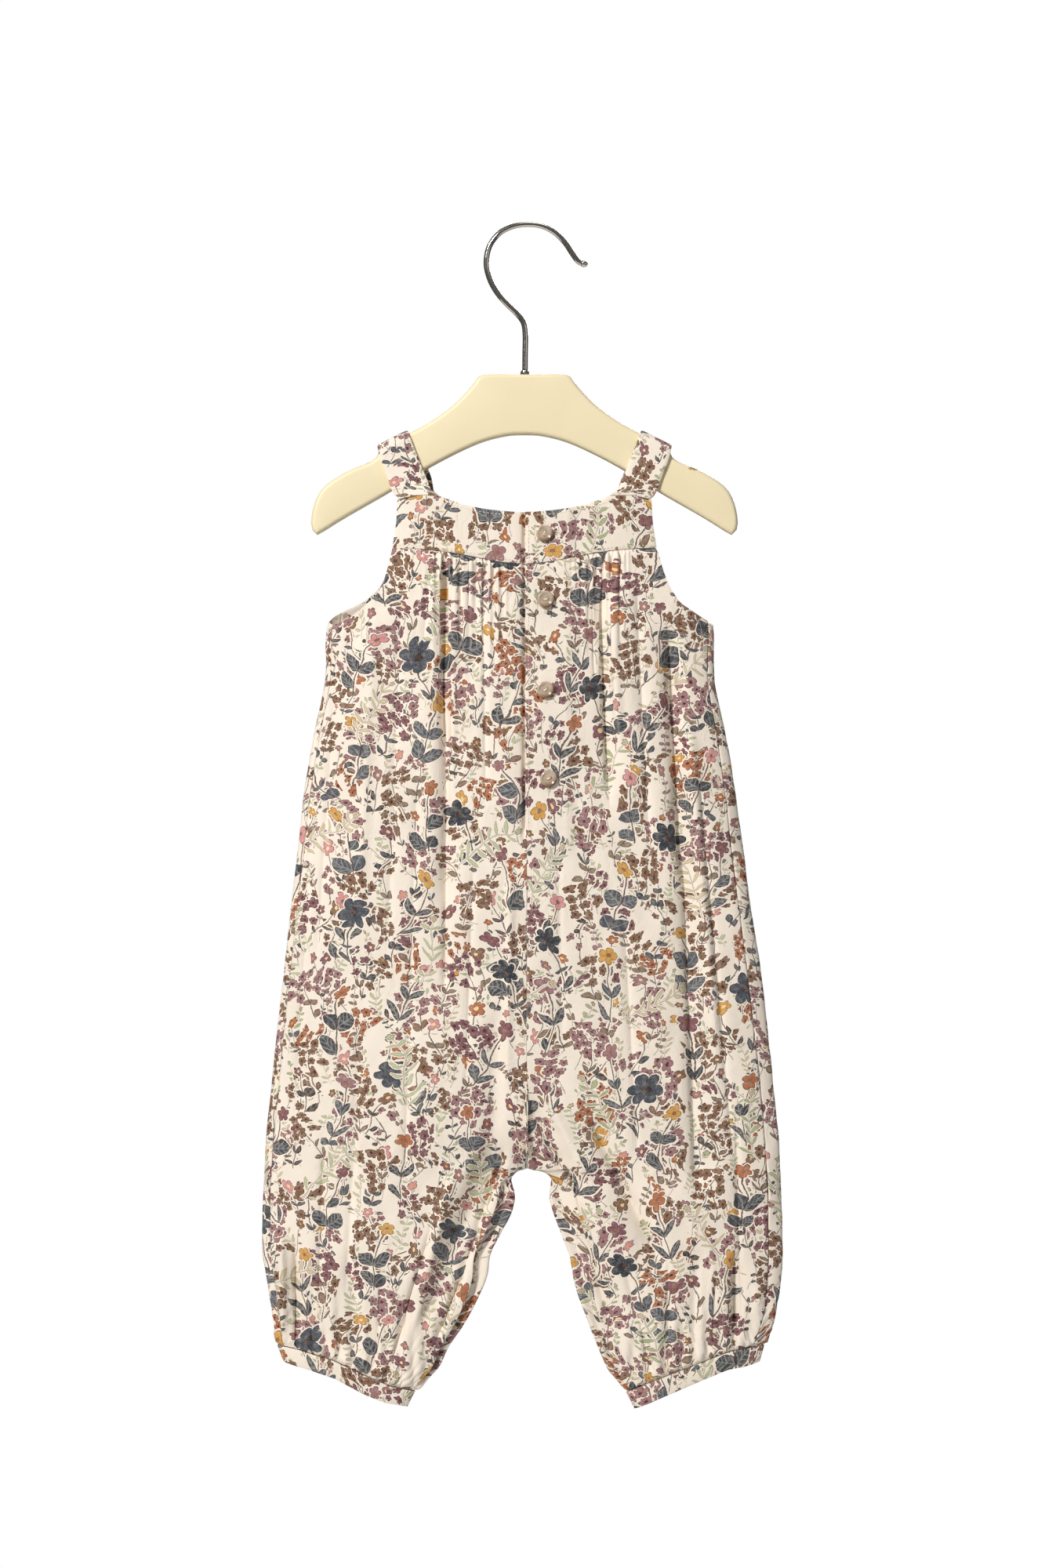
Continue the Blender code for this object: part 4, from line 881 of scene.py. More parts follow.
def panel_grid(panel):
    """Points of a panel's outer face and their places on the flat cloth."""
    shares = panel_shares(panel)
    tops = np.array([panel.top(share) for share in shares[::3]])
    tops = np.interp(shares, shares[::3], tops)
    feet = np.array([panel.foot(share) for share in shares[::3]])
    feet = np.interp(shares, shares[::3], feet)
    band = np.linspace(0, 1, TOP_BAND_ROWS, endpoint=False) ** TOP_CROWDING
    heights = [tops + share * (TOP_LEVEL - tops) for share in band]
    body = np.arange(TOP_LEVEL, LEG_LEVEL, -LEVEL_STEP)
    legs = np.arange(LEG_LEVEL, FOOT_LEVEL, -LEG_STEP)
    for level in sorted([*body, *legs, *(CROTCH - np.array(CROTCH_ROWS))], reverse=True):
        heights.append(np.full(len(shares), level))
    band = 1 - np.linspace(1, 0, FOOT_BAND_ROWS) ** FOOT_CROWDING
    heights += [FOOT_LEVEL + share * (feet - FOOT_LEVEL) for share in band]
    z = np.array(heights)
    first, last = panel.span(z)
    reach = first + shares[None, :] * (last - first)
    points = panel.at_reach(reach, z)
    points = moved_out(points, fine_relief(panel, reach, points[..., 0], z), front_or_back(points))
    # The print keeps its true size round the side edges: it runs by the length along the cloth.
    u = SIDE_OUT[panel.side](z) - panel.own.arc_length(z) + reach
    u = u * panel.side * (1 if panel.face == "front" else -1)
    return points, np.stack([u, z], axis=-1)


def length_setting(name, description, default, low=0.0, high=0.01):
    return bpy.props.FloatProperty(
        name=name, description=description, default=default, min=low, max=high, subtype="DISTANCE",
        unit="LENGTH",
    )


def colour_setting(name, description, value):
    return bpy.props.FloatVectorProperty(
        name=name, description=description, default=linear(value)[:3], min=0.0, max=1.0,
        subtype="COLOR",
    )


def linear(value):
    """A linear RGBA colour from an sRGB hex value."""
    parts = [int(value[i : i + 2], 16) / 255 for i in (1, 3, 5)]
    return (*[c / 12.92 if c <= 0.04045 else ((c + 0.055) / 1.055) ** 2.4 for c in parts], 1.0)


class OverallsSizes(bpy.types.PropertyGroup):
    """Sizes that a maker would change."""

    cloth: length_setting("Cloth", "Thickness of one layer of cotton", 0.00055)
    doubled_cloth: length_setting("Doubled cloth", "Thickness of a yoke or the button stand", 0.001)
    strap_cloth: length_setting("Strap", "Thickness of a turned and topstitched strap", 0.0019)
    cuff_cloth: length_setting("Cuff", "Thickness of a turned cuff", 0.0018)
    stitch: length_setting("Stitch", "Length of a topstitch", 0.0023)
    thread: length_setting("Thread", "Thickness of the button thread", 0.0006)
    print_scale: bpy.props.FloatProperty(
        name="Print scale", description="Size of the print, 1 as drawn", default=1.0, min=0.2,
        max=4.0, subtype="FACTOR",
    )


class OverallsColours(bpy.types.PropertyGroup):
    """Colours of the cloth, its inks and the fittings."""

    ground: colour_setting("Cotton", "Unprinted cotton", "#F7ECDD")
    wrong_side: colour_setting("Wrong side", "What dims the print on the wrong side", "#E4D3BF")
    slate: colour_setting("Slate", "Leaves", "#4D535C")
    slate_dark: colour_setting("Dark slate", "Dark leaves", "#3B4048")
    slate_pale: colour_setting("Pale slate", "Veins of leaves", "#A9A8A2")
    mauve: colour_setting("Mauve", "Petals", "#A67A7C")
    plum: colour_setting("Plum", "Dark petals", "#8B5C62")
    pink: colour_setting("Pink", "Petals", "#DB9A98")
    rust: colour_setting("Rust", "Petals", "#B87450")
    brown: colour_setting("Brown", "Seed heads", "#8D684F")
    mustard: colour_setting("Mustard", "Petals", "#DBA555")
    khaki: colour_setting("Khaki", "Leaves", "#8A7257")
    khaki_pale: colour_setting("Pale khaki", "Outlines of pale leaves", "#A5A089")
    sage: colour_setting("Sage", "Pale ferns", "#A9B187")
    sage_pale: colour_setting("Pale sage", "Pale ferns", "#C2C7A2")
    sage_warm: colour_setting("Warm sage", "Pale ferns", "#D9C8A6")
    heart: colour_setting("Flower heart", "Middles of flowers", "#F0D9A6")
    ink: colour_setting("Ink", "Drawn outlines", "#43322F")
    button: colour_setting("Button", "Body of the buttons", "#A08468")
    # Painted highlight and shadow of the buttons: pale at the middle and upper left, dark brown at
    # the lower right of the rim
    button_dark_shade: colour_setting("Button, dark", "Painted shadow at the lower right of the rim", "#6B4F3C")
    button_pale_lit: colour_setting("Button, pale", "Pale middle and painted highlight at the upper left", "#C2AE98")
    thread: colour_setting("Thread", "Sewing thread", "#F1E4CC")
    paint: colour_setting("Paint", "Painted wood", "#F3E6C0")
    # Painted shade: the colour that the hanger's rounded edges are darkened towards
    paint_edge_shade: colour_setting("Paint, edge shade", "Painted shade on the rounded edges of the hanger", "#D8C594")
    wood: colour_setting("Wood", "Bare beech", "#BFA170")
    wood_dark: colour_setting("Wood grain", "Grain of bare beech", "#9C8050")
    wire: colour_setting("Wire", "Nickel plate", "#D9D6D0")
    wire_warm: colour_setting("Wire, warm", "Handled nickel plate", "#C6BDAE")
    floor: colour_setting("Floor", "Board below the object", "#ECEAE6")


def sizes():
    return bpy.context.scene.overalls_sizes


def colours():
    return bpy.context.scene.overalls_colours


def fill(tree, node, inputs):
    """Sets a node's inputs by name or place, or links them to other nodes' outputs."""
    for key, value in inputs.items():
        if isinstance(value, bpy.types.NodeSocket):
            tree.links.new(value, node.inputs[key])
        else:
            node.inputs[key].default_value = value


def put(tree, kind, inputs=(), out=0, **settings):
    """Adds a node with its settings, sets or links its inputs by place or name, and gives one of
    its outputs."""
    node = tree.nodes.new("ShaderNode" + kind)
    for name, value in settings.items():
        setattr(node, name, value)
    fill(tree, node, inputs if isinstance(inputs, dict) else dict(enumerate(inputs)))
    return node.outputs[out]


FORMULA_WORDS = {
    ast.Add: "ADD", ast.Sub: "SUBTRACT", ast.Mult: "MULTIPLY", ast.Div: "DIVIDE",
    ast.Pow: "POWER", ast.Lt: "LESS_THAN", ast.Gt: "GREATER_THAN", "floor": "FLOOR",
    "fract": "FRACT", "sin": "SINE", "cos": "COSINE", "size": "ABSOLUTE", "least": "MINIMUM",
    "most": "MAXIMUM", "root": "SQRT", "angle": "ARCTAN2", "sign": "SIGN",
}


def formula(tree, text, **names):
    """A sum over named sockets and numbers, as nodes."""

    def build(part):
        if isinstance(part, ast.Constant):
            return float(part.value)
        if isinstance(part, ast.Name):
            return names[part.id]
        if isinstance(part, ast.Compare):
            word, values = type(part.ops[0]), (part.left, part.comparators[0])
        elif isinstance(part, ast.BinOp):
            word, values = type(part.op), (part.left, part.right)
        else:
            word, values = part.func.id, part.args
        return put(tree, "Math", [build(value) for value in values], operation=FORMULA_WORDS[word])

    return build(ast.parse(text).body[0].value)


SPRIG_SIZES = {
    # a printed sprig's sizes on each layer, from the lowest up: mm, radians or plain numbers
    "Cell Width": (23, 17, 25, 24, 33, 42, 88, 79),
    "Cell Height": (29, 27, 31, 33, 41, 52, 97, 71),
    "Seed": (3, 17, 29, 11, 23, 5, 41, 37),
    "Height": (25, 21, 17, 23, 22, 36, 30, 40),
    "Bend": (5, 3, -4, 6, 4, 8, 6, 10),
    "Tilt": (1.2, 1.4, 1, 1.3, 0.8, 0.9, 1.2, 2),
    "Wander": (9, 8, 8, 10, 9, 15, 40, 30),
    "Stem": (0.22, 0.24, 0.26, 0.3, 0.3, 0.4, 0.4, 0.4),
    "Leaf Pitch": (3.6, 4.6, 6, 8.5, 7, 13, 9, 5.4),
    "Leaf Length": (5.6, 3.9, 4.8, 7.4, 7, 15.5, 10, 12),
    "Leaf Width": (0.8, 1.15, 1.3, 1.9, 1.9, 3.9, 2.6, 0.95),
    "Leaf Angle": (0.85, 1, 0.8, 0.8, 0.8, 0.8, 0.9, 0.9),
    "Leaf From": (2, 3, 0, 2, 0, 1, 0, 3),
    "Leaf To": (24, 18, 9, 18, 10, 27, 12, 38),
    "Flower": (1.4, 2.9, 2.55, 4.3, 3.25, 5.4, 9.5, 2.4),
    "Petals": (5, 5, 5, 5, 5, 5, 6, 5),
    "Vein": (9, 9, 9, 2.4, 2.4, 3, 2.6, 9),
    "Halo": (0, 0.6, 0.8, 0.9, 0.9, 1, 1.1, 0.5),
    "Posy": (8, 8, 8.2, 8, 10.5, 8, 8, 8),
    "Posy Spacing": (5.4, 5.4, 4.9, 5.4, 6.1, 5.4, 5.4, 5.4),
    "Slender": (0, 0.4, 0.5, 0.5, 0.5, 0.55, 0.5, 0),
}
# Outlines and shades of a flower are its own ink, darkened to this value
OUTLINE_VALUE = 0.36
SPRIG_MASKS = (
    "Leaf", "Vein", "Flower", "Shade", "Heart", "Ink", "Line", "Halo", "Choice", "Tone",
)


def sprig_group(name, posy):
    """A node group that draws one sprig in each cell of the cloth: a bent stem with leaves on
    both sides, and at its top one flower or a posy of small ones."""
    tree = bpy.data.node_groups.new(name, "ShaderNodeTree")
    tree.interface.new_socket("Vector", in_out="INPUT", socket_type="NodeSocketVector")
    for socket in SPRIG_SIZES:
        tree.interface.new_socket(socket, in_out="INPUT", socket_type="NodeSocketFloat")
    for socket in SPRIG_MASKS:
        tree.interface.new_socket(socket, in_out="OUTPUT", socket_type="NodeSocketFloat")
    given = tree.nodes.new("NodeGroupInput").outputs
    v = {socket.lower().replace(" ", "_"): given[socket] for socket in SPRIG_SIZES}

    def add(**formulas):
        for key, text in formulas.items():
            v[key] = formula(tree, text, **v)

    def drawn_lots(keys, *place):
        colour = put(tree, "TexWhiteNoise", [put(tree, "CombineXYZ", place)], out=1)
        for key, index in zip(keys, range(3)):
            v[key] = put(tree, "SeparateColor", [colour], out=index)

    v["x"] = put(tree, "SeparateXYZ", [given["Vector"]])
    v["y"] = put(tree, "SeparateXYZ", [given["Vector"]], out=1)
    add(
        column="floor(x / cell_width)",
        lifted="y + fract(column * 0.618 + seed * 0.37) * cell_height",
        row="floor(lifted / cell_height)",
    )
    drawn_lots("abc", v["column"], v["row"], v["seed"])
    drawn_lots("def", v["row"], v["column"], v["seed"])
    # Each sprig has its own axes, flipped and tilted: s runs up its stem, t lies across it.
    add(
        across="(x - (column + 0.5) * cell_width - (e - 0.5) * wander) * sign(a - 0.5)",
        up="lifted - (row + 0.5) * cell_height",
        lean="(b - 0.5) * tilt",
        s="up * cos(lean) - across * sin(lean) + height / 2.0",
        share="s / height",
        t="across * cos(lean) + up * sin(lean) - bend * (d + 0.2) * share * (share - 1.0) * 1.6",
        inside="(s > 0.0) * (s < height)",
        stem_edge="stem - size(t)",
        stem_line="(stem_edge > 0.0) * inside",
        stem_halo="(stem_edge > 0.0 - halo) * inside",
        slim="slender * (f > 0.5)",
        pair="floor(s / leaf_pitch)",
        side="sign(t)",
    )
    drawn_lots("ghi", v["pair"], v["side"], v["a"])
    add(
        turn="leaf_angle * (1.0 - 0.4 * slim) + (g - 0.5) * 0.45",
        leaf_s="fract(s / leaf_pitch) * leaf_pitch - leaf_pitch * 0.12",
        along="size(t) * sin(turn) + leaf_s * cos(turn) - 0.4",
        length="leaf_length * (0.66 + 0.34 * g) * (1.0 - 0.35 * share)",
        q="along / length",
        off="leaf_s * sin(turn) - size(t) * cos(turn) - (h - 0.5) * 2.4 * q * q",
        belly="root(most(q * (1.0 - q), 0.0)) * 2.0",
        leaf_edge="leaf_width * (1.0 - 0.9 * slim) * belly ** (1.0 + q) - size(off)",
        grown="(s > leaf_from) * (s < leaf_to) * (i > 0.2)",
        leaf="(leaf_edge > 0.0) * grown",
        leaf_halo="(leaf_edge > 0.0 - halo) * grown * (q > 0.0) * (q < 1.0)",
        leaf_ink="leaf * (leaf_edge < 0.4)",
        veins="(fract((along - size(off) * 1.1) / vein) < 0.26) * (g > 0.2)",
        leaf_vein="leaf * most(veins, size(off) < 0.26)",
    )
    if posy:
        place = [v["t"], formula(tree, "s - height", **v), formula(tree, "a * 97.0", **v)]
        place = put(tree, "CombineXYZ", place)
        packed = {"Vector": place, "Scale": formula(tree, "1.0 / posy_spacing", **v),
                  "Randomness": 0.5}
        middle = put(tree, "TexVoronoi", packed, out=2)
        own = put(tree, "TexVoronoi", packed, out=1)
        v["cx"] = put(tree, "SeparateXYZ", [middle])
        v["cy"] = put(tree, "SeparateXYZ", [middle], out=1)
        v["own"] = put(tree, "SeparateColor", [own])
        add(
            fx="t - cx",
            fy="s - height - cy",
            there="(cx * cx + cy * cy * 0.7 < posy * posy) * (own > 0.22)",
            bloom="flower * (0.75 + 0.35 * own)",
        )
    else:
        v["own"] = v["f"]
        add(fx="t", fy="s - height", there="1.0 * 1.0", bloom="flower * (0.75 + 0.35 * f)")
    add(
        radius="root(fx * fx + fy * fy)",
        round="angle(fy, fx) + own * 6.0",
        lobe="size(cos(round * petals / 2.0))",
        reach="bloom * (0.56 + 0.44 * lobe ** 0.6)",
        bloomed="(radius < reach) * there",
        rim="bloomed * (reach - radius < 0.5)",
        gap="bloomed * (lobe < 0.14) * (radius > bloom * 0.2)",
        shade="bloomed * (fract(round * petals * 0.64) < 0.3) * (radius < bloom * 0.75)",
        heart="(radius < bloom * 0.24) * there",
        flower_halo="(radius < reach + halo) * there",
        line="most(rim, gap)",
        ink="most(stem_line, leaf_ink) * (1.0 - bloomed)",
        all_halo="most(stem_halo, most(leaf_halo, flower_halo))",
    )
    end = tree.nodes.new("NodeGroupOutput").inputs
    made = ("leaf", "leaf_vein", "bloomed", "shade", "heart", "ink", "line", "all_halo", "c", "e")
    for socket, key in zip(end, made):
        tree.links.new(v[key], socket)
    return tree


# The printed inks, by their names in the colour settings, for each kind of sprig
FERN = dict(
    leaf=("sage", "sage_pale", "sage_warm"), flower=("sage_warm", "sage_pale"), vein="sage_pale",
    heart="sage", ink="khaki_pale", ink_share=0.6, vein_share=0.2,
)
SPRAY = dict(
    leaf=("ink", "slate", "brown", "mauve", "slate_dark", "khaki"),
    flower=("rust", "mauve", "brown", "plum", "pink", "mauve"), vein="slate_pale", heart="mustard",
    ink="ink", ink_share=0.6, vein_share=0.15,
)
SINGLE = dict(
    leaf=("slate", "khaki", "ink", "slate_dark"),
    flower=("mauve", "rust", "brown", "plum", "mustard", "pink", "plum"), vein="slate_pale",
    heart="heart", ink="ink", ink_share=0.85, vein_share=0.3,
)
POSY = dict(
    leaf=("slate_dark", "khaki", "brown"),
    flower=("mauve", "brown", "rust", "plum", "brown", "mauve", "brown", "mauve"),
    vein="slate_pale", heart="ink", ink="ink", ink_share=0.85, vein_share=0.3,
)
BOLD = dict(
    leaf=("slate_dark", "slate"), flower=("mustard", "pink", "rust", "mauve", "plum"),
    vein="slate_pale", heart="brown", ink="ink", ink_share=0.9, vein_share=0.6,
)
STAR = dict(
    leaf=("slate", "slate_dark"), flower=("slate_dark", "slate"), vein="slate_pale",
    heart="ink", ink="ink", ink_share=0.9, vein_share=0.4,
)
SPRIG_KINDS = ("printed sprig", "printed posy")
PRINT_LAYERS = (
    # the place of its kind in SPRIG_KINDS, its inks, the turn of the layer; from the lowest up
    (0, FERN, 0.06), (0, SPRAY, -0.11), (1, POSY, 0.17), (0, SINGLE, 0.13),
    (1, POSY, -0.05), (0, BOLD, 0.09), (0, STAR, -0.3), (0, FERN, 0.4),
)


def in_millimetres(tree):
    """Places on the flat cloth in millimetres, moved a little by two waves, so that no two
    sprigs are drawn alike."""
    flat = put(tree, "UVMap", uv_map="cloth")
    scale = 1000.0 / sizes().print_scale
    mm = put(tree, "VectorMath", {0: flat, "Scale": scale}, operation="SCALE")
    place = mm
    for fineness, reach, detail in ((0.05, 12.0, 1.0), (0.55, 1.0, 2.0)):
        wave = put(tree, "TexNoise", {"Vector": mm, "Scale": fineness, "Detail": detail}, out=1)
        wave = put(tree, "VectorMath", [wave, (-0.5, -0.5, -0.5)], operation="ADD")
        wave = put(tree, "VectorMath", {0: wave, "Scale": reach}, operation="SCALE")
        place = put(tree, "VectorMath", [place, wave], operation="ADD")
    return mm, place


def print_layer(tree, number, groups, below, place, hatch):
    """Prints one kind of sprig over the colours so far, with a clear rim of ground round it."""
    kind, inks, turn = PRINT_LAYERS[number]
    place = put(tree, "VectorRotate", {"Vector": place, "Angle": turn}, rotation_type="Z_AXIS")
    node = tree.nodes.new("ShaderNodeGroup")
    node.node_tree = groups[kind]
    fill(tree, node, {socket: values[number] for socket, values in SPRIG_SIZES.items()})
    fill(tree, node, {"Vector": place})
    out = node.outputs
    colours = {}
    for what, lot in (("leaf", "Choice"), ("flower", "Tone")):
        picker = put(tree, "ValToRGB", [out[lot]]).node
        picker.color_ramp.interpolation = "CONSTANT"
        while len(picker.color_ramp.elements) < len(inks[what]):
            picker.color_ramp.elements.new(0.5)
        for place, (stop, ink) in enumerate(zip(picker.color_ramp.elements, inks[what])):
            stop.position = place / len(inks[what])
            stop.color = ink_colour(ink)
        colours[what] = picker.outputs[0]
    vein = formula(tree, "most(v, h * 0.4) * k", v=out["Vein"], h=hatch, k=inks["vein_share"])
    line = formula(tree, "v * k", v=out["Ink"], k=inks["ink_share"])
    shade = formula(tree, "v * 0.3", v=out["Shade"])
    dark = {"Saturation": 1.1, "Value": OUTLINE_VALUE, "Color": colours["flower"]}
    dark = put(tree, "HueSaturation", dark)
    for what, mask, coat in (
        ("leaf", vein, ink_colour(inks["vein"])), ("flower", shade, dark),
        ("flower", out["Line"], dark), ("flower", out["Heart"], ink_colour(inks["heart"])),
    ):
        coats = {0: mask, 6: colours[what], 7: coat}
        colours[what] = put(tree, "Mix", coats, 2, data_type="RGBA")
    for mask, coat in (
        (out["Halo"], ink_colour("ground")), (out["Leaf"], colours["leaf"]),
        (line, ink_colour(inks["ink"])), (out["Flower"], colours["flower"]),
    ):
        below = put(tree, "Mix", {0: mask, 6: below, 7: coat}, 2, data_type="RGBA")
    return below


def ink_colour(name):
    return (*getattr(colours(), name), 1.0)


def toned(tree, colour, cloud, low, high):
    """A colour made darker and lighter by a noise, between two values."""
    value = put(tree, "MapRange", {0: cloud, 1: 0.3, 2: 0.7, 3: low, 4: high})
    return put(tree, "HueSaturation", {"Value": value, "Color": colour})


def new_material(name):
    """A material with its node tree and its shader."""
    material = bpy.data.materials.new(name)
    material.use_nodes = True
    return material, material.node_tree, material.node_tree.nodes["Principled BSDF"]


def printed_cotton(name, wrong_side):
    """Plain-woven cotton lawn with a rotary-screened flower print. It gives a matt face with a
    soft sheen at its edges, fine threads, and inks that lie a little unevenly on the yarn. On
    the wrong side the same print shows through paler and greyer."""
    material, tree, shader = new_material(name)
    ground = ink_colour("ground")
    mm, place = in_millimetres(tree)
    have = bpy.data.node_groups.get
    groups = [have(kind) or sprig_group(kind, "posy" in kind) for kind in SPRIG_KINDS]
    hatch = put(tree, "VectorRotate", {"Vector": mm, "Angle": 0.7}, rotation_type="Z_AXIS")
    hatch = put(tree, "Mapping", {0: hatch, 3: (2.4, 0.5, 1.0)})
    hatch = put(tree, "TexNoise", {"Vector": hatch, "Scale": 1.0, "Detail": 3.0})
    hatch = put(tree, "MapRange", {0: hatch, 1: 0.5, 2: 0.62})
    colour = ground
    for number in range(len(PRINT_LAYERS)):
        colour = print_layer(tree, number, groups, colour, place, hatch)
    # Inks take a little less on some yarns, and the ground has faint warm and cool clouds.
    worn = put(tree, "TexNoise", {"Vector": mm, "Scale": 1.1, "Detail": 3.0, "Roughness": 0.7})
    patchy = put(tree, "TexNoise", {"Vector": mm, "Scale": 0.3, "Detail": 3.0, "Roughness": 0.6})
    worn = formula(tree, "least(most(w * 0.5 + p * 0.7 - 0.57, 0.0), 0.2)", w=worn, p=patchy)
    colour = put(tree, "Mix", {0: worn, 6: colour, 7: ground}, 2, data_type="RGBA")
    cloud = put(tree, "TexNoise", {"Vector": mm, "Scale": 0.018, "Detail": 3.0})
    colour = toned(tree, colour, cloud, 0.95, 1.03)
    if wrong_side:
        show_through = ink_colour("wrong_side")
        colour = put(tree, "Mix", {0: 0.45, 6: colour, 7: show_through}, 2, data_type="RGBA")
    # Threads lie 0.28 mm apart in the real cloth. They are drawn 0.7 mm apart, so that they show.
    x, y = (put(tree, "SeparateXYZ", [mm], out=i) for i in (0, 1))
    weave = formula(tree, "sin(x * k) * sin(y * k)", x=x, y=y, k=math.pi / THREAD_DRAWN)
    slub = put(tree, "Mapping", {0: mm, 3: (0.9, 0.06, 1.0)})
    slub = put(tree, "TexNoise", {"Vector": slub, "Scale": 1.0, "Detail": 2.0})
    weave = formula(tree, "w * 0.5 + s", w=weave, s=slub)
    # Small creases stay in washed lawn: upright, 4 to 9 mm apart and a few centimetres long.
    crease = put(tree, "Mapping", {0: place, 3: (0.15, 0.04, 1.0)})
    crease = put(tree, "TexNoise", {
        "Vector": crease, "Scale": 1.0, "Detail": 3.0, "Roughness": 0.55, "Distortion": 0.6,
    })
    creased = put(tree, "Bump", {"Strength": 0.5, "Distance": 0.0011, "Height": crease})
    woven = {"Strength": 0.35, "Distance": 0.00012, "Height": weave, "Normal": creased}
    fill(tree, shader, {
        "Base Color": colour, "Normal": put(tree, "Bump", woven), "Roughness": 0.86,
        "Specular IOR Level": 0.3, "Sheen Weight": 0.16, "Sheen Roughness": 0.45,
    })
    return material


def button_resin():
    """Cast polyester resin, turned and polished, as pearly shirt buttons are. It gives cloudy
    layers of taupe under a clear gloss. Its tone is painted pale at the middle and upper left as a
    highlight, and dark brown at the lower right of the rim as a shadow."""
    material, tree, shader = new_material("pearly button resin")
    where = put(tree, "TexCoord", out=3)
    on_disc = put(tree, "UVMap", uv_map="disc")
    radius = put(tree, "VectorMath", [on_disc], out=1, operation="LENGTH")
    cloud = put(tree, "TexNoise", {"Vector": where, "Scale": 260.0, "Detail": 3.0,
                                   "Distortion": 1.2})
    x, y = (put(tree, "SeparateXYZ", [on_disc], out=i) for i in (0, 1))
    # Painted highlight and shadow: the tone rises with the radius and towards the lower right, from
    # pale to dark brown, with the cloud through it.
    low = formula(tree, "radius * 0.4 + x * 0.28 - y * 0.5 + (c - 0.5) * 0.2",
                  radius=radius, x=x, y=y, c=cloud)
    ramp = put(tree, "ValToRGB", [low]).node
    stops = ((0.0, "button_pale_lit"), (0.3, "button_pale_lit"), (0.55, "button"), (0.85, "button_dark_shade"))
    while len(ramp.color_ramp.elements) < len(stops):
        ramp.color_ramp.elements.new(0.5)
    for stop, (place, name) in zip(ramp.color_ramp.elements, stops):
        stop.position, stop.color = place, ink_colour(name)
    tone = put(tree, "MapRange", {0: cloud, 1: 0.3, 2: 0.7, 3: 0.85, 4: 1.15})
    colour = put(tree, "HueSaturation", {"Value": tone, "Color": ramp.outputs[0]})
    scratch = put(tree, "TexNoise", {"Vector": where, "Scale": 2600.0, "Detail": 3.0})
    rough = put(tree, "MapRange", {0: scratch, 1: 0.3, 2: 0.8, 3: 0.16, 4: 0.3})
    worn = put(tree, "Bump", {"Strength": 0.1, "Distance": 0.0001, "Height": scratch})
    fill(tree, shader, {"Base Color": colour, "Roughness": rough, "Normal": worn,
                        "Coat Weight": 0.8, "Coat Roughness": 0.06})
    return material


def sewing_thread():
    """Spun polyester sewing thread. It gives a soft twisted cord, a touch brighter than cloth."""
    if THREAD_NAME in bpy.data.materials:
        return bpy.data.materials[THREAD_NAME]
    material, tree, shader = new_material(THREAD_NAME)
    where = put(tree, "TexCoord", out=3)
    # The twist is 0.4 mm long in the real thread. It is drawn 0.5 mm long.
    twist = put(tree, "TexWave", {"Vector": where, "Scale": 640.0, "Distortion": 2.0},
                bands_direction="DIAGONAL")
    tone = put(tree, "MapRange", {0: twist, 3: 0.82, 4: 1.04})
    colour = put(tree, "HueSaturation", {"Value": tone, "Color": ink_colour("thread")})
    strands = put(tree, "Bump", {"Strength": 0.4, "Distance": 0.0001, "Height": twist})
    fill(tree, shader, {"Base Color": colour, "Normal": strands, "Roughness": 0.62,
                        "Sheen Weight": 0.2})
    return material


def cream_paint():
    """Satin paint sprayed on sanded beech. It gives an even cream with a soft broad gloss, the
    faintest grain below, painted shade that darkens its rounded edges a little, and small knocks on
    the upper edges where the wood shows."""
    material, tree, shader = new_material("satin cream paint on beech")
    where = put(tree, "TexCoord", out=3)
    # Beech fibres telegraph through as lines 1.2 mm apart that run along the arms.
    grain = put(tree, "Mapping", {0: where, 3: (60.0, 500.0, 830.0)})
    grain = put(tree, "TexNoise", {"Vector": grain, "Scale": 1.0, "Detail": 4.0})
    cloud = put(tree, "TexNoise", {"Vector": where, "Scale": 26.0, "Detail": 3.0})
    paint = toned(tree, ink_colour("paint"), cloud, 0.975, 1.015)
    # Painted shade: the rounded edges are darkened a little, unevenly with the cloud.
    y = put(tree, "SeparateXYZ", [where], out=1)
    edge_shade = put(tree, "MapRange", {0: formula(tree, "size(y)", y=y), 1: 0.0045, 2: 0.0062,
                                     3: 0.0, 4: 0.3})
    edge_shade = formula(tree, "(0.3 - h) * c", h=edge_shade, c=cloud)
    paint = put(tree, "Mix", {0: edge_shade, 6: paint, 7: ink_colour("paint_edge_shade")}, 2,
                data_type="RGBA")
    knock = None
    for x, z, wide, high in PAINT_KNOCKS:
        spot = put(tree, "VectorMath", [where, (x * MM, -HANGER_THICKNESS / 2 * MM, z * MM)],
                   operation="SUBTRACT")
        spot = put(tree, "Mapping", {0: spot, 3: (1000 / wide, 250.0, 1000 / high)})
        reach = put(tree, "VectorMath", [spot], out=1, operation="LENGTH")
        ragged = put(tree, "TexNoise", {"Vector": where, "Scale": 900.0, "Detail": 2.0})
        one = formula(tree, "(reach + (ragged - 0.5) * 1.3) < 1.0", reach=reach, ragged=ragged)
        knock = one if knock is None else formula(tree, "most(a, b)", a=knock, b=one)
    wood = put(tree, "Mix", {0: grain, 6: ink_colour("wood_dark"), 7: ink_colour("wood")}, 2,
               data_type="RGBA")
    colour = put(tree, "Mix", {0: knock, 6: paint, 7: wood}, 2, data_type="RGBA")
    rough = put(tree, "MapRange", {0: cloud, 1: 0.3, 2: 0.7, 3: 0.4, 4: 0.5})
    rough = formula(tree, "r + k * 0.35", r=rough, k=knock)
    peel = put(tree, "TexNoise", {"Vector": where, "Scale": 700.0, "Detail": 2.0})
    height = formula(tree, "g * 0.6 + p * 0.4 - k * 2.0", g=grain, p=peel, k=knock)
    coat = put(tree, "Bump", {"Strength": 0.14, "Distance": 0.0003, "Height": height})
    fill(tree, shader, {"Base Color": colour, "Roughness": rough, "Normal": coat})
    return material


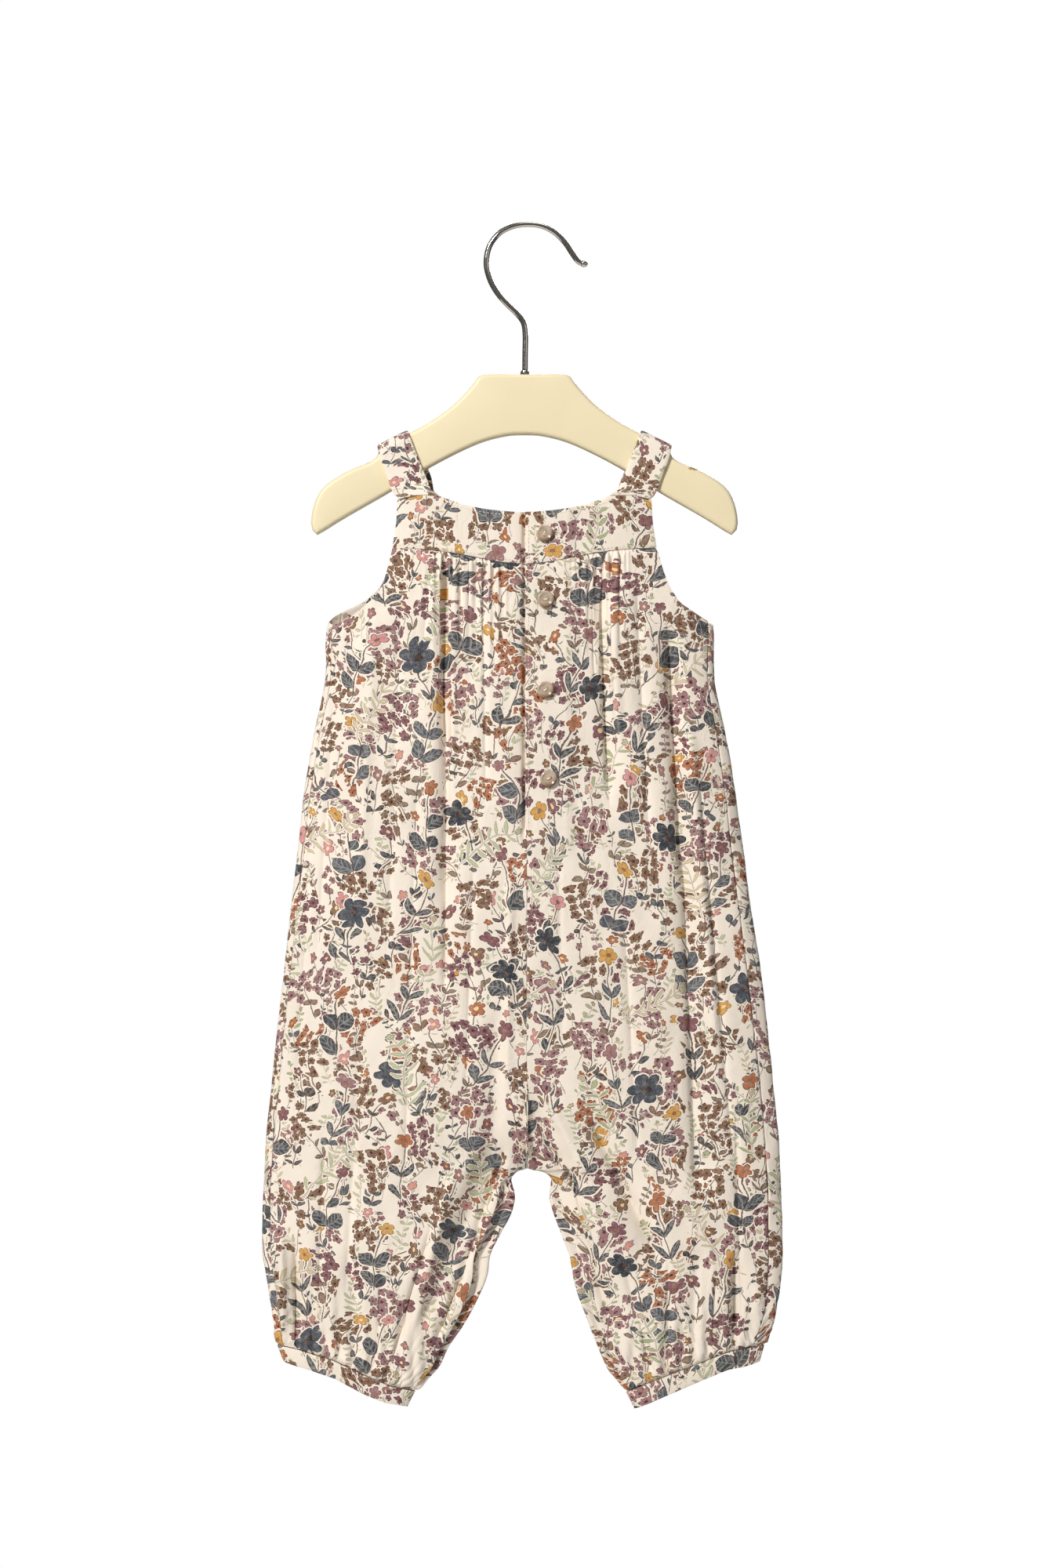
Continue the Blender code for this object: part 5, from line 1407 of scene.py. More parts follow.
def bright_wire():
    """Drawn steel wire with bright nickel plate. It gives hard dark and light reflections, with
    fine scratches along the bend where it slides on rails."""
    material, tree, shader = new_material("nickel-plated steel wire")
    where = put(tree, "TexCoord", out=3)
    cloud = put(tree, "TexNoise", {"Vector": where, "Scale": 90.0, "Detail": 3.0})
    colour = put(tree, "Mix", {0: cloud, 6: ink_colour("wire_warm"), 7: ink_colour("wire")}, 2,
                 data_type="RGBA")
    scratch = put(tree, "Mapping", {0: where, 3: (900.0, 3000.0, 900.0)})
    scratch = put(tree, "TexNoise", {"Vector": scratch, "Scale": 1.0, "Detail": 4.0})
    rough = put(tree, "MapRange", {0: scratch, 1: 0.35, 2: 0.75, 3: 0.1, 4: 0.26})
    drawn = put(tree, "Bump", {"Strength": 0.05, "Distance": 0.0001, "Height": scratch})
    fill(tree, shader, {"Base Color": colour, "Roughness": rough, "Normal": drawn, "Metallic": 1.0})
    return material


def pale_floor():
    """Matt painted board, as a photographer's table has. It gives a quiet pale ground."""
    material, tree, shader = new_material("matt pale board")
    where = put(tree, "TexCoord", out=3)
    cloud = put(tree, "TexNoise", {"Vector": where, "Scale": 3.0, "Detail": 4.0})
    colour = toned(tree, ink_colour("floor"), cloud, 0.97, 1.0)
    fill(tree, shader, {"Base Color": colour, "Roughness": 0.8})
    return material


def as_mesh(name, shape):
    """A mesh of a bmesh, which is freed."""
    mesh = bpy.data.meshes.new(name)
    shape.to_mesh(mesh)
    shape.free()
    return mesh


def in_scene(name, data):
    """An object linked to the scene."""
    made = bpy.data.objects.new(name, data)
    bpy.context.scene.collection.objects.link(made)
    return made


def run_along(points):
    """The length along a row of points up to each of them."""
    return np.concatenate([[0], np.cumsum(np.linalg.norm(np.diff(points, axis=0), axis=1))])


def cloth_mesh(name, points, flat, closed=False):
    """A cloth surface from a grid, laid on points (in rows from the top down, in millimetres),
    with the places on the flat cloth as its UV map. Its faces look away from the garment's
    middle plane."""
    rows, columns = points.shape[:2]
    shape = bmesh.new()
    bmesh.ops.create_grid(shape, x_segments=columns - 1, y_segments=rows - 1, size=1.0)
    layer = shape.loops.layers.uv.new("cloth")
    place = np.array([vert.co[:2] for vert in shape.verts])
    low, high = place.min(axis=0), place.max(axis=0)
    share = (place - low) / (high - low)
    column = np.rint(share[:, 0] * (columns - 1)).astype(int)
    row = np.rint((1 - share[:, 1]) * (rows - 1)).astype(int)
    for vert, point in zip(shape.verts, (points[row, column] * MM).tolist()):
        vert.co = point
    shape.verts.index_update()
    on_cloth = ((flat + PRINT_SHIFT[name])[row, column] * MM).tolist()
    for face in shape.faces:
        for loop in face.loops:
            loop[layer].uv = on_cloth[loop.vert.index]
    if closed:
        bmesh.ops.remove_doubles(shape, verts=shape.verts, dist=1e-6)
    shape.normal_update()
    looks = sum(face.normal.y * face.calc_center_median().y for face in shape.faces)
    if looks < 0:
        bmesh.ops.reverse_faces(shape, faces=shape.faces)
    return as_mesh(name + "_cloth", shape)


def linked(name, mesh, node, slot, *materials):
    """A piece of the object that stands for a solid of model.glb."""
    piece = in_scene(name, mesh)
    for material in materials:
        mesh.materials.append(material)
    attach(piece, "root")
    if node:
        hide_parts(node)
    return piece


def thickened(piece, thickness, inside_material=0, edge=0.0):
    """Gives a cloth surface its thickness towards the inside, with soft edges on doubled cloth."""
    wall = piece.modifiers.new("Thickness", "SOLIDIFY")
    wall.thickness = thickness
    wall.offset = -1
    wall.material_offset = inside_material
    if edge:
        soft = piece.modifiers.new("Folded edge", "BEVEL")
        soft.width = edge
        soft.segments = 2
        soft.limit_method = "ANGLE"
        soft.angle_limit = math.radians(50)
    piece.data.shade_smooth()
    if edge:
        piece.data.set_sharp_from_angle(angle=math.radians(60))


def body_panel(face, side, cloth, wrong_side):
    """A front or back half of the garment with its leg."""
    node = f"{face}_{SIDE_WORD[side]}"
    points, flat = panel_grid(PANELS[face, side])
    piece = linked(node + "_cloth", cloth_mesh(node, points, flat), node, "printed_cotton",
                   cloth, wrong_side)
    thickened(piece, sizes().cloth, inside_material=1)


def yoke(node, face, start, end, drop, lap, cloth, wrong_side):
    """A yoke piece between two distances across, from the neckline down to its seam."""
    place = np.linspace(start, end, int(abs(end - start) / YOKE_STEP) + 1)
    side = np.where(place < 0, LEFT, RIGHT)
    sag = drop * ease((STRAP_SEAM_INNER - 1 - np.abs(place)) / BACK_NECK_EASE)
    top, foot = neckline(place) - sag, yoke_seam(place) + SEAM_GAP / 2
    z = top + np.linspace(0, 1, YOKE_ROWS)[:, None] * (foot - top)
    lean = YOKE_SIDE_AT(z) / YOKE_SIDE_AT(YOKE_SEAM_SIDE)
    x = np.where(np.abs(place) > YOKE_STRAIGHT, place * lean, place + 0 * z)
    left = HALVES[face, LEFT].at_x(x, z, lap)
    right = HALVES[face, RIGHT].at_x(x, z, lap)
    points = np.where((side == LEFT)[None, :, None], left, right)
    inward = np.minimum.reduce([
        np.broadcast_to(top - z, z.shape), z - foot,
        np.broadcast_to(place - start, z.shape), np.broadcast_to(end - place, z.shape),
    ])
    turned_edge = -0.3 * np.exp(-np.clip(inward, 0, None) / 0.7)
    soft = unevenness(x, z, 41 + int(place[0]) % 7) * 0.3 * ease(inward / 3)
    if face == "front" and not lap:
        soft = soft - beside_lap(x, z)
    points = moved_out(points, turned_edge + soft, front_or_back(points))
    flat = np.stack([x if face == "front" else -x, z], axis=-1)
    piece = linked(node + "_cloth", cloth_mesh(node, points, flat), node, "printed_cotton",
                   cloth, wrong_side)
    thickened(piece, sizes().doubled_cloth, edge=0.00025)


def button_stand(wrong_side):
    """The underlap behind the buttoned edge, from the neckline to the foot of the lap."""
    z = np.linspace(NECK_LOWEST - STAND_TOP_DROP, LAP_FOOT + LAP_EDGE_FADE, 70)[:, None]
    x = np.linspace(STAND_SEAM + SEAM_GAP, LAP_WIDTH, 14)[None, :]
    points = HALVES["front", RIGHT].at_x(x, z)
    flat = np.stack([x + 0 * z, z + 0 * x], axis=-1)
    piece = linked("button_stand_cloth", cloth_mesh("button_stand", points, flat),
                   "button_stand", "facing_cotton", wrong_side)
    thickened(piece, sizes().doubled_cloth)


def wood_top(away):
    """Height of the hanger's upper edge under a strap."""
    inner, outer = HANGER_HALF[6], HANGER_HALF[7]
    return inner[1] + (away - inner[0]) * (outer[1] - inner[1]) / (outer[0] - inner[0])


def strap_half(face, side, widths):
    """Rows of a strap from its seam on a yoke up to the bend over the hanger."""
    out = OUTWARD[face]
    shift = 0 if face == "front" else BACK_STRAP_SHIFT[side]
    foot = STRAP_FOOT_INNER + widths * (STRAP_FOOT_OUTER - STRAP_FOOT_INNER)
    seam = neckline(foot) + SEAM_GAP
    over = STRAP_TOP_INNER + widths * (STRAP_TOP_OUTER - STRAP_TOP_INNER)
    spring = wood_top(over) - STRAP_SHOULDER
    rows = []
    for share in np.linspace(0, 1, STRAP_ROWS):
        z = seam + share * (spring - seam)
        inner, outer = STRAP_INNER_AT(z), STRAP_OUTER_AT(z)
        settled = ease(share / 0.12)
        away = foot * (1 - settled) + (inner + widths * (outer - inner)) * settled
        away = away - shift * math.sin(math.pi * share) * (1 - STRAP_SHIFT_SPREAD * widths)
        on_yoke = np.minimum(away, STRAP_FOOT_OUTER)
        on_yoke = np.abs(HALVES[face, side].at_x(side * on_yoke, seam)[..., 1])
        settle = ease(share / STRAP_SETTLE)
        depth = on_yoke * (1 - settle) + STRAP_FRONT * settle
        rows.append(np.stack([side * away, out * depth, z], axis=-1))
    return rows


def strap_bend(side, widths):
    """Rows of a strap where it bends over the hanger."""
    rise = STRAP_SHOULDER + STRAP_CLEAR + DOUBLE_WALL
    over = STRAP_TOP_INNER + widths * (STRAP_TOP_OUTER - STRAP_TOP_INNER)
    spring = wood_top(over) - STRAP_SHOULDER
    inner, outer = STRAP_INNER_AT(spring), STRAP_OUTER_AT(spring)
    low = inner + widths * (outer - inner)
    rows = []
    for angle in np.radians(np.arange(8, 176, 8)):
        away = low + math.sin(angle) * (over - low)
        depth = abs(math.cos(angle)) ** (2 / STRAP_BEND_POWER)
        y = np.full(len(widths), -STRAP_FRONT * math.copysign(depth, math.cos(angle)))
        rows.append(np.stack([side * away, y, spring + rise * math.sin(angle)], axis=-1))
    return rows


def strap(node, side, cloth):
    """A doubled strap from the front yoke, over the hanger, down to the back yoke."""
    widths = np.linspace(0, 1, STRAP_COLUMNS)
    rows = strap_half("front", side, widths) + strap_bend(side, widths)
    points = np.array(rows + strap_half("back", side, widths)[::-1])
    middle = points[:, STRAP_COLUMNS // 2]
    run = run_along(middle)
    width = np.linalg.norm(points[:, -1] - points[:, 0], axis=1)
    flat = np.stack([side * (widths - 0.5) * width[:, None], run[:, None] + 0 * widths], axis=-1)
    edge = np.minimum(widths, 1 - widths) * width[:, None]
    turned_edge = -0.5 * np.exp(-edge / 0.8)
    outward = points - (0, 0, points[..., 2].max() - 14)
    outward[..., 0] = 0
    points = moved_out(points, turned_edge, outward)
    piece = linked(node + "_cloth", cloth_mesh(node, points[::-1], flat[::-1]), node,
                   "printed_cotton", cloth)
    thickened(piece, sizes().strap_cloth, edge=0.0004)


def cuff_top(side):
    """Points round the hem, where the leg meets its cuff."""
    points = []
    for step in range(CUFF_AROUND + 1):
        turn = 2 * math.pi * (step + 0.5) / CUFF_AROUND
        half = HALVES["front" if turn % (2 * math.pi) < math.pi else "back", side]
        share = (1 - math.cos(turn)) / 2
        z = np.arange(FOOT_SEARCH[0], FOOT_SEARCH[1], SEARCH_STEP)
        away = half.look_up(half.away, share, z)
        point = half.points(share, z[z >= hem_height(side, away)].min())
        point[2] = hem_height(side, point[0]) - SEAM_GAP
        points.append(point)
    return np.array(points)


def cuff(node, side, cloth):
    """A narrow doubled band round the leg's foot, slanted like the hem."""
    (inner_x, inner_z), (outer_x, outer_z) = CUFF[side]
    top = cuff_top(side)
    away = np.abs(top[:, 0])
    share = (away - away.min()) / np.ptp(away)
    straight = inner_z + share * (outer_z - inner_z)
    parallel = hem_height(side, away) - CUFF_HEIGHT
    at_ends = np.abs(2 * share - 1) ** 3
    x = side * (inner_x + share * (outer_x - inner_x))
    z = parallel * (1 - at_ends) + straight * at_ends
    foot = np.stack([x, top[:, 1] * CUFF_FOOT_SHARE, z], axis=1)
    run = run_along(top)
    points, flat = [], []
    for band in np.linspace(0, 1, CUFF_ROWS):
        row = top + (foot - top) * band
        swell = 0.62 * math.sin(math.pi * band) ** 0.6
        ripple = 0.22 * drifting(run, 6.0, 5 + side) * math.sin(math.pi * min(band * 1.4, 1))
        row[:, 1] += np.sign(row[:, 1]) * (swell + ripple * (np.abs(row[:, 1]) > 2))
        points.append(row)
        flat.append(np.stack([run, np.full(len(run), -band * CUFF_HEIGHT)], axis=-1))
    points, flat = np.array(points), np.array(flat)
    points[:, -1] = points[:, 0]
    piece = linked(node + "_cloth", cloth_mesh(node, points, flat, closed=True), node,
                   "printed_cotton", cloth)
    thickened(piece, sizes().cuff_cloth, edge=0.0004)


def armhole_facing(node, side, cloth):
    """A strip inside the back along its armhole."""
    rows = np.array(ARMHOLE["back", side])
    half = HALVES["back", side]
    away = np.linspace(FACING_START, FACING_END, 40)
    z = np.interp(away, rows[:, 0], rows[:, 1])
    ahead = np.interp(away + FACING_STEP, rows[:, 0], rows[:, 1])
    behind = np.interp(away - FACING_STEP, rows[:, 0], rows[:, 1])
    across = np.stack([ahead - behind, np.full(len(away), -2 * FACING_STEP)], axis=-1)
    across /= np.linalg.norm(across, axis=-1)[:, None]
    reach = np.linspace(FACING_INSET, FACING_WIDTH, 8)[:, None]
    x = side * (away + across[:, 0] * reach)
    points = half.at_x(x, z + across[:, 1] * reach)
    points[..., 1] -= FACING_BEHIND
    run = run_along(points[len(points) // 2])
    flat = np.stack(np.broadcast_arrays(-side * run, -reach), axis=-1)
    piece = linked(node + "_cloth", cloth_mesh(node, points, flat), node, "facing_cotton", cloth)
    thickened(piece, FACING_WALL * MM, edge=0.0003)


def cloth_materials():
    """The printed cotton's right side and its wrong side."""
    have = bpy.data.materials.get
    return (
        have(CLOTH_NAME) or printed_cotton(CLOTH_NAME, False),
        have(WRONG_SIDE_NAME) or printed_cotton(WRONG_SIDE_NAME, True),
    )


def turned(profile, steps):
    """A closed shape turned about Z from a profile of (radius, height) in millimetres."""
    shape = bmesh.new()
    points = [shape.verts.new((radius * MM, 0, height * MM)) for radius, height in profile]
    if profile[0][0] > 0:
        points.append(points[0])
    edges = [shape.edges.new(pair) for pair in zip(points, points[1:])]
    bmesh.ops.spin(
        shape, geom=shape.verts[:] + edges, axis=(0, 0, 1), cent=(0, 0, 0), steps=steps,
        angle=2 * math.pi, use_merge=True,
    )
    bmesh.ops.remove_doubles(shape, verts=shape.verts, dist=1e-6)
    bmesh.ops.recalc_face_normals(shape, faces=shape.faces)
    return shape


def tube(shape, route, radius, sides):
    """Adds a round cord along a route of points in metres, with rounded ends."""
    route = [Vector(point) for point in route]
    ahead = (route[1] - route[0]).normalized()
    upright = ahead.to_track_quat("Z", "Y").to_matrix().to_4x4()
    made = bmesh.ops.create_circle(
        shape, cap_ends=True, segments=sides, radius=radius * 0.5,
        matrix=Matrix.Translation(route[0] - ahead * radius * 0.6) @ upright,
    )
    ring = [face for face in shape.faces if set(face.verts) == set(made["verts"])]
    bmesh.ops.reverse_faces(shape, faces=ring)
    at = route[0] - ahead * radius * 0.6
    middles = [(point, radius) for point in route]
    last = (route[-1] - route[-2]).normalized()
    middles.append((route[-1] + last * radius * 0.6, radius * 0.5))
    size, facing = radius * 0.5, ahead
    for number, (middle, new_size) in enumerate(middles):
        before = middles[max(number - 1, 0)][0]
        after = middles[min(number + 1, len(middles) - 1)][0]
        turn_to = (after - before).normalized() if (after - before).length else facing
        grown = bmesh.ops.extrude_discrete_faces(shape, faces=ring)
        ring = grown["faces"]
        verts = ring[0].verts[:]
        bmesh.ops.translate(shape, verts=verts, vec=middle - at)
        spin = Matrix.Translation(middle) @ facing.rotation_difference(turn_to).to_matrix().to_4x4()
        grow = Matrix.Diagonal((*[new_size / size] * 3, 1))
        bmesh.ops.transform(shape, verts=verts, matrix=spin @ grow @ Matrix.Translation(-middle))
        at, size, facing = middle, new_size, turn_to
    return shape


def finished(name, shape, node, slot, material, smooth=35):
    """Makes a piece of a bmesh, with soft faces and sharp edges past an angle in degrees."""
    mesh = as_mesh(name, shape)
    mesh.shade_smooth()
    if smooth:
        mesh.set_sharp_from_angle(angle=math.radians(smooth))
    return linked(name, mesh, node, slot, material)


def catmull_rom(points, count):
    """Points along a smooth curve through the given ones, evenly spaced."""
    points = np.array(points, float)
    padded = np.concatenate([[2 * points[0] - points[1]], points, [2 * points[-1] - points[-2]]])
    fine = []
    for a, b, c, d in zip(padded, padded[1:], padded[2:], padded[3:]):
        for t in np.linspace(0, 1, 12, endpoint=False):
            square, cube = 2 * a - 5 * b + 4 * c - d, 3 * b - a - 3 * c + d
            fine.append(0.5 * (2 * b + (c - a) * t + square * t**2 + cube * t**3))
    fine = np.array(fine + [points[-1]])
    run = run_along(fine)
    even = np.linspace(0, run[-1], count)
    return np.stack([np.interp(even, run, column) for column in fine.T], axis=1), even


def button_place(x, z):
    """The middle of a button's back and the direction it faces, clear of the lap's outer face."""
    steps = np.linspace(-BUTTON_RADIUS, BUTTON_RADIUS, 7)
    across, up = np.meshgrid(steps, steps)
    cloth = HALVES["front", RIGHT].at_x(x + across, z + up, True)[..., 1]
    lean_x = np.sum(cloth * across) / np.sum(across**2)
    lean_z = np.sum(cloth * up) / np.sum(up**2)
    nearest = (cloth - lean_x * across - lean_z * up).min()
    return Vector((x, nearest - SEAM_GAP, z)), Vector((lean_x, -1.0, lean_z))


def button_turn(number):
    """Turns a button shape at the origin to its place on the lap."""
    x, z, turn = BUTTONS[number]
    place, facing = button_place(x, z)
    upright = facing.to_track_quat("Z", "Y") @ Quaternion((0, 0, 1), math.radians(turn))
    return Matrix.Translation(place * MM) @ upright.to_matrix().to_4x4()


def button(number, resin):
    """A dished disc with a rolled rim and two thread holes."""
    top, rim = BUTTON_THICKNESS, BUTTON_RADIUS
    dish = top - BUTTON_DISH_DEPTH
    profile = (
        (0.0, dish), (1.2, dish), (2.6, dish + 0.02), (3.0, dish + 0.1), (3.3, dish + 0.28),
        (3.55, dish + 0.46), (3.85, dish + 0.57), (4.2, top), (4.5, top - 0.06),
        (4.76, top - 0.25), (4.92, top - 0.55), (rim, top - 0.95), (4.96, 1.0), (4.8, 0.62),
        (4.4, 0.28), (3.8, 0.06), (3.2, 0.0), (0.0, 0.0),
    )
    disc = in_scene("button blank", as_mesh("button blank", turned(profile, 64)))
    cutters = bmesh.new()
    hole = {"radius1": BUTTON_HOLE_RADIUS * MM, "radius2": BUTTON_HOLE_RADIUS * MM}
    for place in (-0.5, 0.5):
        middle = (place * BUTTON_HOLE_SPACING * MM, 0, BUTTON_THICKNESS / 2 * MM)
        bmesh.ops.create_cone(
            cutters, cap_ends=True, segments=24, depth=2 * BUTTON_THICKNESS * MM,
            matrix=Matrix.Translation(middle), **hole,
        )
    drill = in_scene("button drill", as_mesh("button drill", cutters))
    cut = disc.modifiers.new("Holes", "BOOLEAN")
    cut.operation = "DIFFERENCE"
    cut.object = drill
    bpy.context.view_layer.update()
    mesh = bpy.data.meshes.new_from_object(
        disc.evaluated_get(bpy.context.evaluated_depsgraph_get())
    )
    for helper in (disc, drill):
        bpy.data.objects.remove(helper, do_unlink=True)
    # The disc's map is turned with the button's holes, so that its painted highlight and shadow
    # fall on the same side of every button.
    layer = mesh.uv_layers.new(name="disc")
    upright = Quaternion((0, 0, 1), math.radians(BUTTONS[number][2]))
    for corner in mesh.loops:
        place = upright @ mesh.vertices[corner.vertex_index].co / (BUTTON_RADIUS * MM)
        layer.data[corner.index].uv = place.xy
    mesh.transform(button_turn(number))
    mesh.name = f"button_{number + 1}_disc"
    mesh.shade_smooth()
    mesh.set_sharp_from_angle(angle=math.radians(40))
    mesh.materials.clear()
    linked(mesh.name, mesh, f"button_{number + 1}", "button_resin", resin)


def button_thread(shape, number):
    """Two strands over the bridge between a button's holes, down into both of them."""
    half, top = BUTTON_HOLE_SPACING / 2, BUTTON_THICKNESS - BUTTON_DISH_DEPTH
    thick = sizes().thread / MM / 2
    turn = button_turn(number)
    for strand, (aside, high) in enumerate(((-0.26, 0.0), (0.24, 0.02))):
        lean = 0.12 * (-1) ** strand
        route = [
            (-half - 0.12, aside * 0.6, 0.7), (-half - 0.08, aside * 0.8, top - 0.1),
            (-half + 0.14, aside - lean, top + thick * 0.9 + high),
            (0, aside, top + thick * 1.3 + high),
            (half - 0.14, aside + lean, top + thick * 0.9 + high),
            (half + 0.08, aside * 0.8, top - 0.1), (half + 0.12, aside * 0.6, 0.7),
        ]
        fine = catmull_rom(route, 20)[0] * MM
        tube(shape, [turn @ Vector(point) for point in fine], sizes().thread / 2, 8)


def outward_at(half, x, z, lap):
    """The outer face's point and outward direction at (x, z) on a half of the garment."""
    point = half.at_x(x, z, lap)
    across = half.at_x(x + PROBE, z, lap) - half.at_x(x - PROBE, z, lap)
    down = half.at_x(x, z - PROBE, lap) - half.at_x(x, z + PROBE, lap)
    out = Vector(np.cross(across, down).tolist()).normalized()
    if out.y * half.out < 0:
        out.negate()
    return Vector(point.tolist()), out


def one_stitch(shape, start, end, out, thick):
    """A stitch between two points: a short soft strand, half sunk in the cloth."""
    along = end - start
    if along.length < 1e-6:
        return
    middle = (start + end) / 2
    across = out.cross(along).normalized()
    turn = Matrix((across, along.normalized(), out)).transposed().to_4x4()
    size = Matrix.Diagonal((thick, along.length * 0.46, thick * 0.62, 1))
    bmesh.ops.create_icosphere(
        shape, subdivisions=1, radius=1.0, matrix=Matrix.Translation(middle) @ turn @ size
    )


def topstitch(shape, route, half, lap, lift):
    """A row of stitches along a route of (x, z) places in millimetres on the garment."""
    route, run = catmull_rom(route, 60)
    step = sizes().stitch / MM
    places = np.arange(0.0, run[-1], step)
    points = np.stack([np.interp(places, run, column) for column in route.T], axis=1)
    for (x1, z1), (x2, z2) in zip(points, points[1:]):
        start, out = outward_at(half, x1, z1, lap)
        end, _ = outward_at(half, x2, z2, lap)
        start, end = start.lerp(end, 0.14), end.lerp(start, 0.14)
        one_stitch(shape, (start + out * lift) * MM, (end + out * lift) * MM, out, STITCH_HALF * MM)


def buttonhole(shape, x, z, turn, reach):
    """A worked buttonhole: two dense rows of thread with a bar at each end, and a slit between."""
    turn = math.radians(turn)
    along, aside = (math.sin(turn), math.cos(turn)), (math.cos(turn), -math.sin(turn))
    half = HALVES["front", RIGHT]

    def at(up, over):
        place = (x + along[0] * up + aside[0] * over, z + along[1] * up + aside[1] * over)
        point, out = outward_at(half, place[0], place[1], True)
        return (point + out * STITCH_LIFT) * MM, out

    for up in np.arange(-reach, reach, BUTTONHOLE_PITCH):
        for over in (-1, 1):
            start, out = at(up, over * 0.18)
            one_stitch(shape, start, at(up + 0.05, over * 1.15)[0], out, 0.17 * MM)
    for up in (-reach, reach):
        for shift in np.linspace(-0.5, 0.5, 4):
            start, out = at(up + shift, -1.25)
            one_stitch(shape, start, at(up + shift, 1.25)[0], out, 0.2 * MM)


def sewing(thread):
    """Topstitching along the neck, the lap and the front and back yoke seams, and the worked
    buttonholes."""
    shape = bmesh.new()
    neck = [(x, float(neckline(x)) - 2.2) for x in np.linspace(2.2, STRAP_SEAM_INNER - 1, 12)]
    seam = [(x, float(yoke_seam(x)) + 1.8) for x in np.linspace(2.2, 76.0, 14)]
    for side in (LEFT, RIGHT):
        half, lap = HALVES["front", side], side == RIGHT
        start = 0 if side == RIGHT else 1
        topstitch(shape, [(side * x, z) for x, z in neck[start:]], half, lap, STITCH_LIFT)
        topstitch(shape, [(side * x, z) for x, z in seam[start:]], half, lap, STITCH_LIFT)
    edge = [(LAP_EDGE + 1.9, z) for z in np.linspace(NECK_LOWEST - 3.0, LAP_FOOT + 3, 12)]
    topstitch(shape, edge, HALVES["front", RIGHT], True, STITCH_LIFT)
    for x, z, turn, reach in BUTTONHOLES:
        buttonhole(shape, x, z, turn, reach)
    back = [(x, float(yoke_seam(x)) + 1.8) for x in np.linspace(-75.0, 75.0, 26)]
    for first, side in ((13, RIGHT), (0, LEFT)):
        route = back[first : first + 13]
        topstitch(shape, route, HALVES["back", side], False, STITCH_LIFT)
    finished("topstitching", shape, None, "printed_cotton", thread, smooth=0)


def hanger_body(paint):
    """A flat wooden shape with rounded edges."""
    right = catmull_rom(HANGER_HALF, 80)[0]
    outline = [(x, z) for x, z in right] + [(-x, z) for x, z in right[-2:0:-1]]
    shape = bmesh.new()
    back = HANGER_THICKNESS / 2
    verts = [shape.verts.new((x * MM, back * MM, z * MM)) for x, z in outline]
    face = shape.faces.new(verts)
    grown = bmesh.ops.extrude_face_region(shape, geom=[face])
    moved = [part for part in grown["geom"] if isinstance(part, bmesh.types.BMVert)]
    bmesh.ops.translate(shape, verts=moved, vec=(0, -HANGER_THICKNESS * MM, 0))
    bmesh.ops.recalc_face_normals(shape, faces=shape.faces)
    rims = [
        edge for edge in shape.edges
        if abs(edge.verts[0].co.y - edge.verts[1].co.y) < 1e-7
    ]
    bmesh.ops.bevel(
        shape, geom=rims, offset=HANGER_EDGE * MM, offset_type="OFFSET", segments=6,
        profile=0.5, affect="EDGES", clamp_overlap=False, material=-1,
    )
    bmesh.ops.triangulate(shape, faces=[face for face in shape.faces if len(face.verts) > 4])
    finished("hanger_body_wood", shape, "hanger_body", "cream_paint", paint, smooth=40)


def hanger_hook(nickel):
    """The bent wire with a small ball at its free end."""
    route = catmull_rom(HOOK_ROUTE, 90)[0]
    shape = bmesh.new()
    tube(shape, [(x * MM, 0, z * MM) for x, z in route], HOOK_RADIUS * MM, 20)
    end = Vector((route[-1][0], 0, route[-1][1])) * MM
    back = Vector((route[-1][0] - route[-3][0], 0, route[-1][1] - route[-3][1])).normalized()
    bmesh.ops.create_uvsphere(
        shape, u_segments=24, v_segments=16, radius=HOOK_RADIUS * HOOK_BALL * MM,
        matrix=Matrix.Translation(end - back * HOOK_RADIUS * 0.9 * MM),
    )
    finished("hanger_hook_wire", shape, "hanger_hook", "bright_wire", nickel, smooth=50)


def hanger_collar(nickel):
    """The flared collar at the foot of the hook."""
    shape = turned(COLLAR_PROFILE, 48)
    place = Matrix.Translation((HOOK_ROUTE[0][0] * MM, 0, HANGER_HALF[0][1] * MM))
    bmesh.ops.transform(shape, matrix=place, verts=shape.verts)
    finished("hanger_collar_ring", shape, "hanger_collar", "bright_wire", nickel)


LIGHTS = (
    # name, place, aim, size, power, tint
    ("key", (-1.45, -2.2, 1.15), (0, 0, -0.32), (0.5, 0.5), 81, "#FFFBF8"),
    ("fill", (1.8, -2, 0.2), (0, 0, -0.35), (1.2, 1.2), 4, "#F8FAFF"),
    ("top", (0.2, -0.3, 1.7), (0, 0, -0.2), (0.8, 0.8), 7, "#FFFFFF"),
    ("back", (0.3, 2.5, 0.8), (0, 0, -0.3), (1.2, 1.2), 44, "#FFFFFF"),
)


def area_light(name, place, aim, size, power, tint):
    """A soft studio light at a place, turned to an aim."""
    data = bpy.data.lights.new(name, "AREA")
    data.shape = "RECTANGLE"
    data.size, data.size_y = size
    data.energy = power
    data.color = linear(tint)[:3]
    light = in_scene(name, data)
    light.location = place
    light.rotation_euler = (Vector(aim) - Vector(place)).to_track_quat("-Z", "Y").to_euler()
    return light


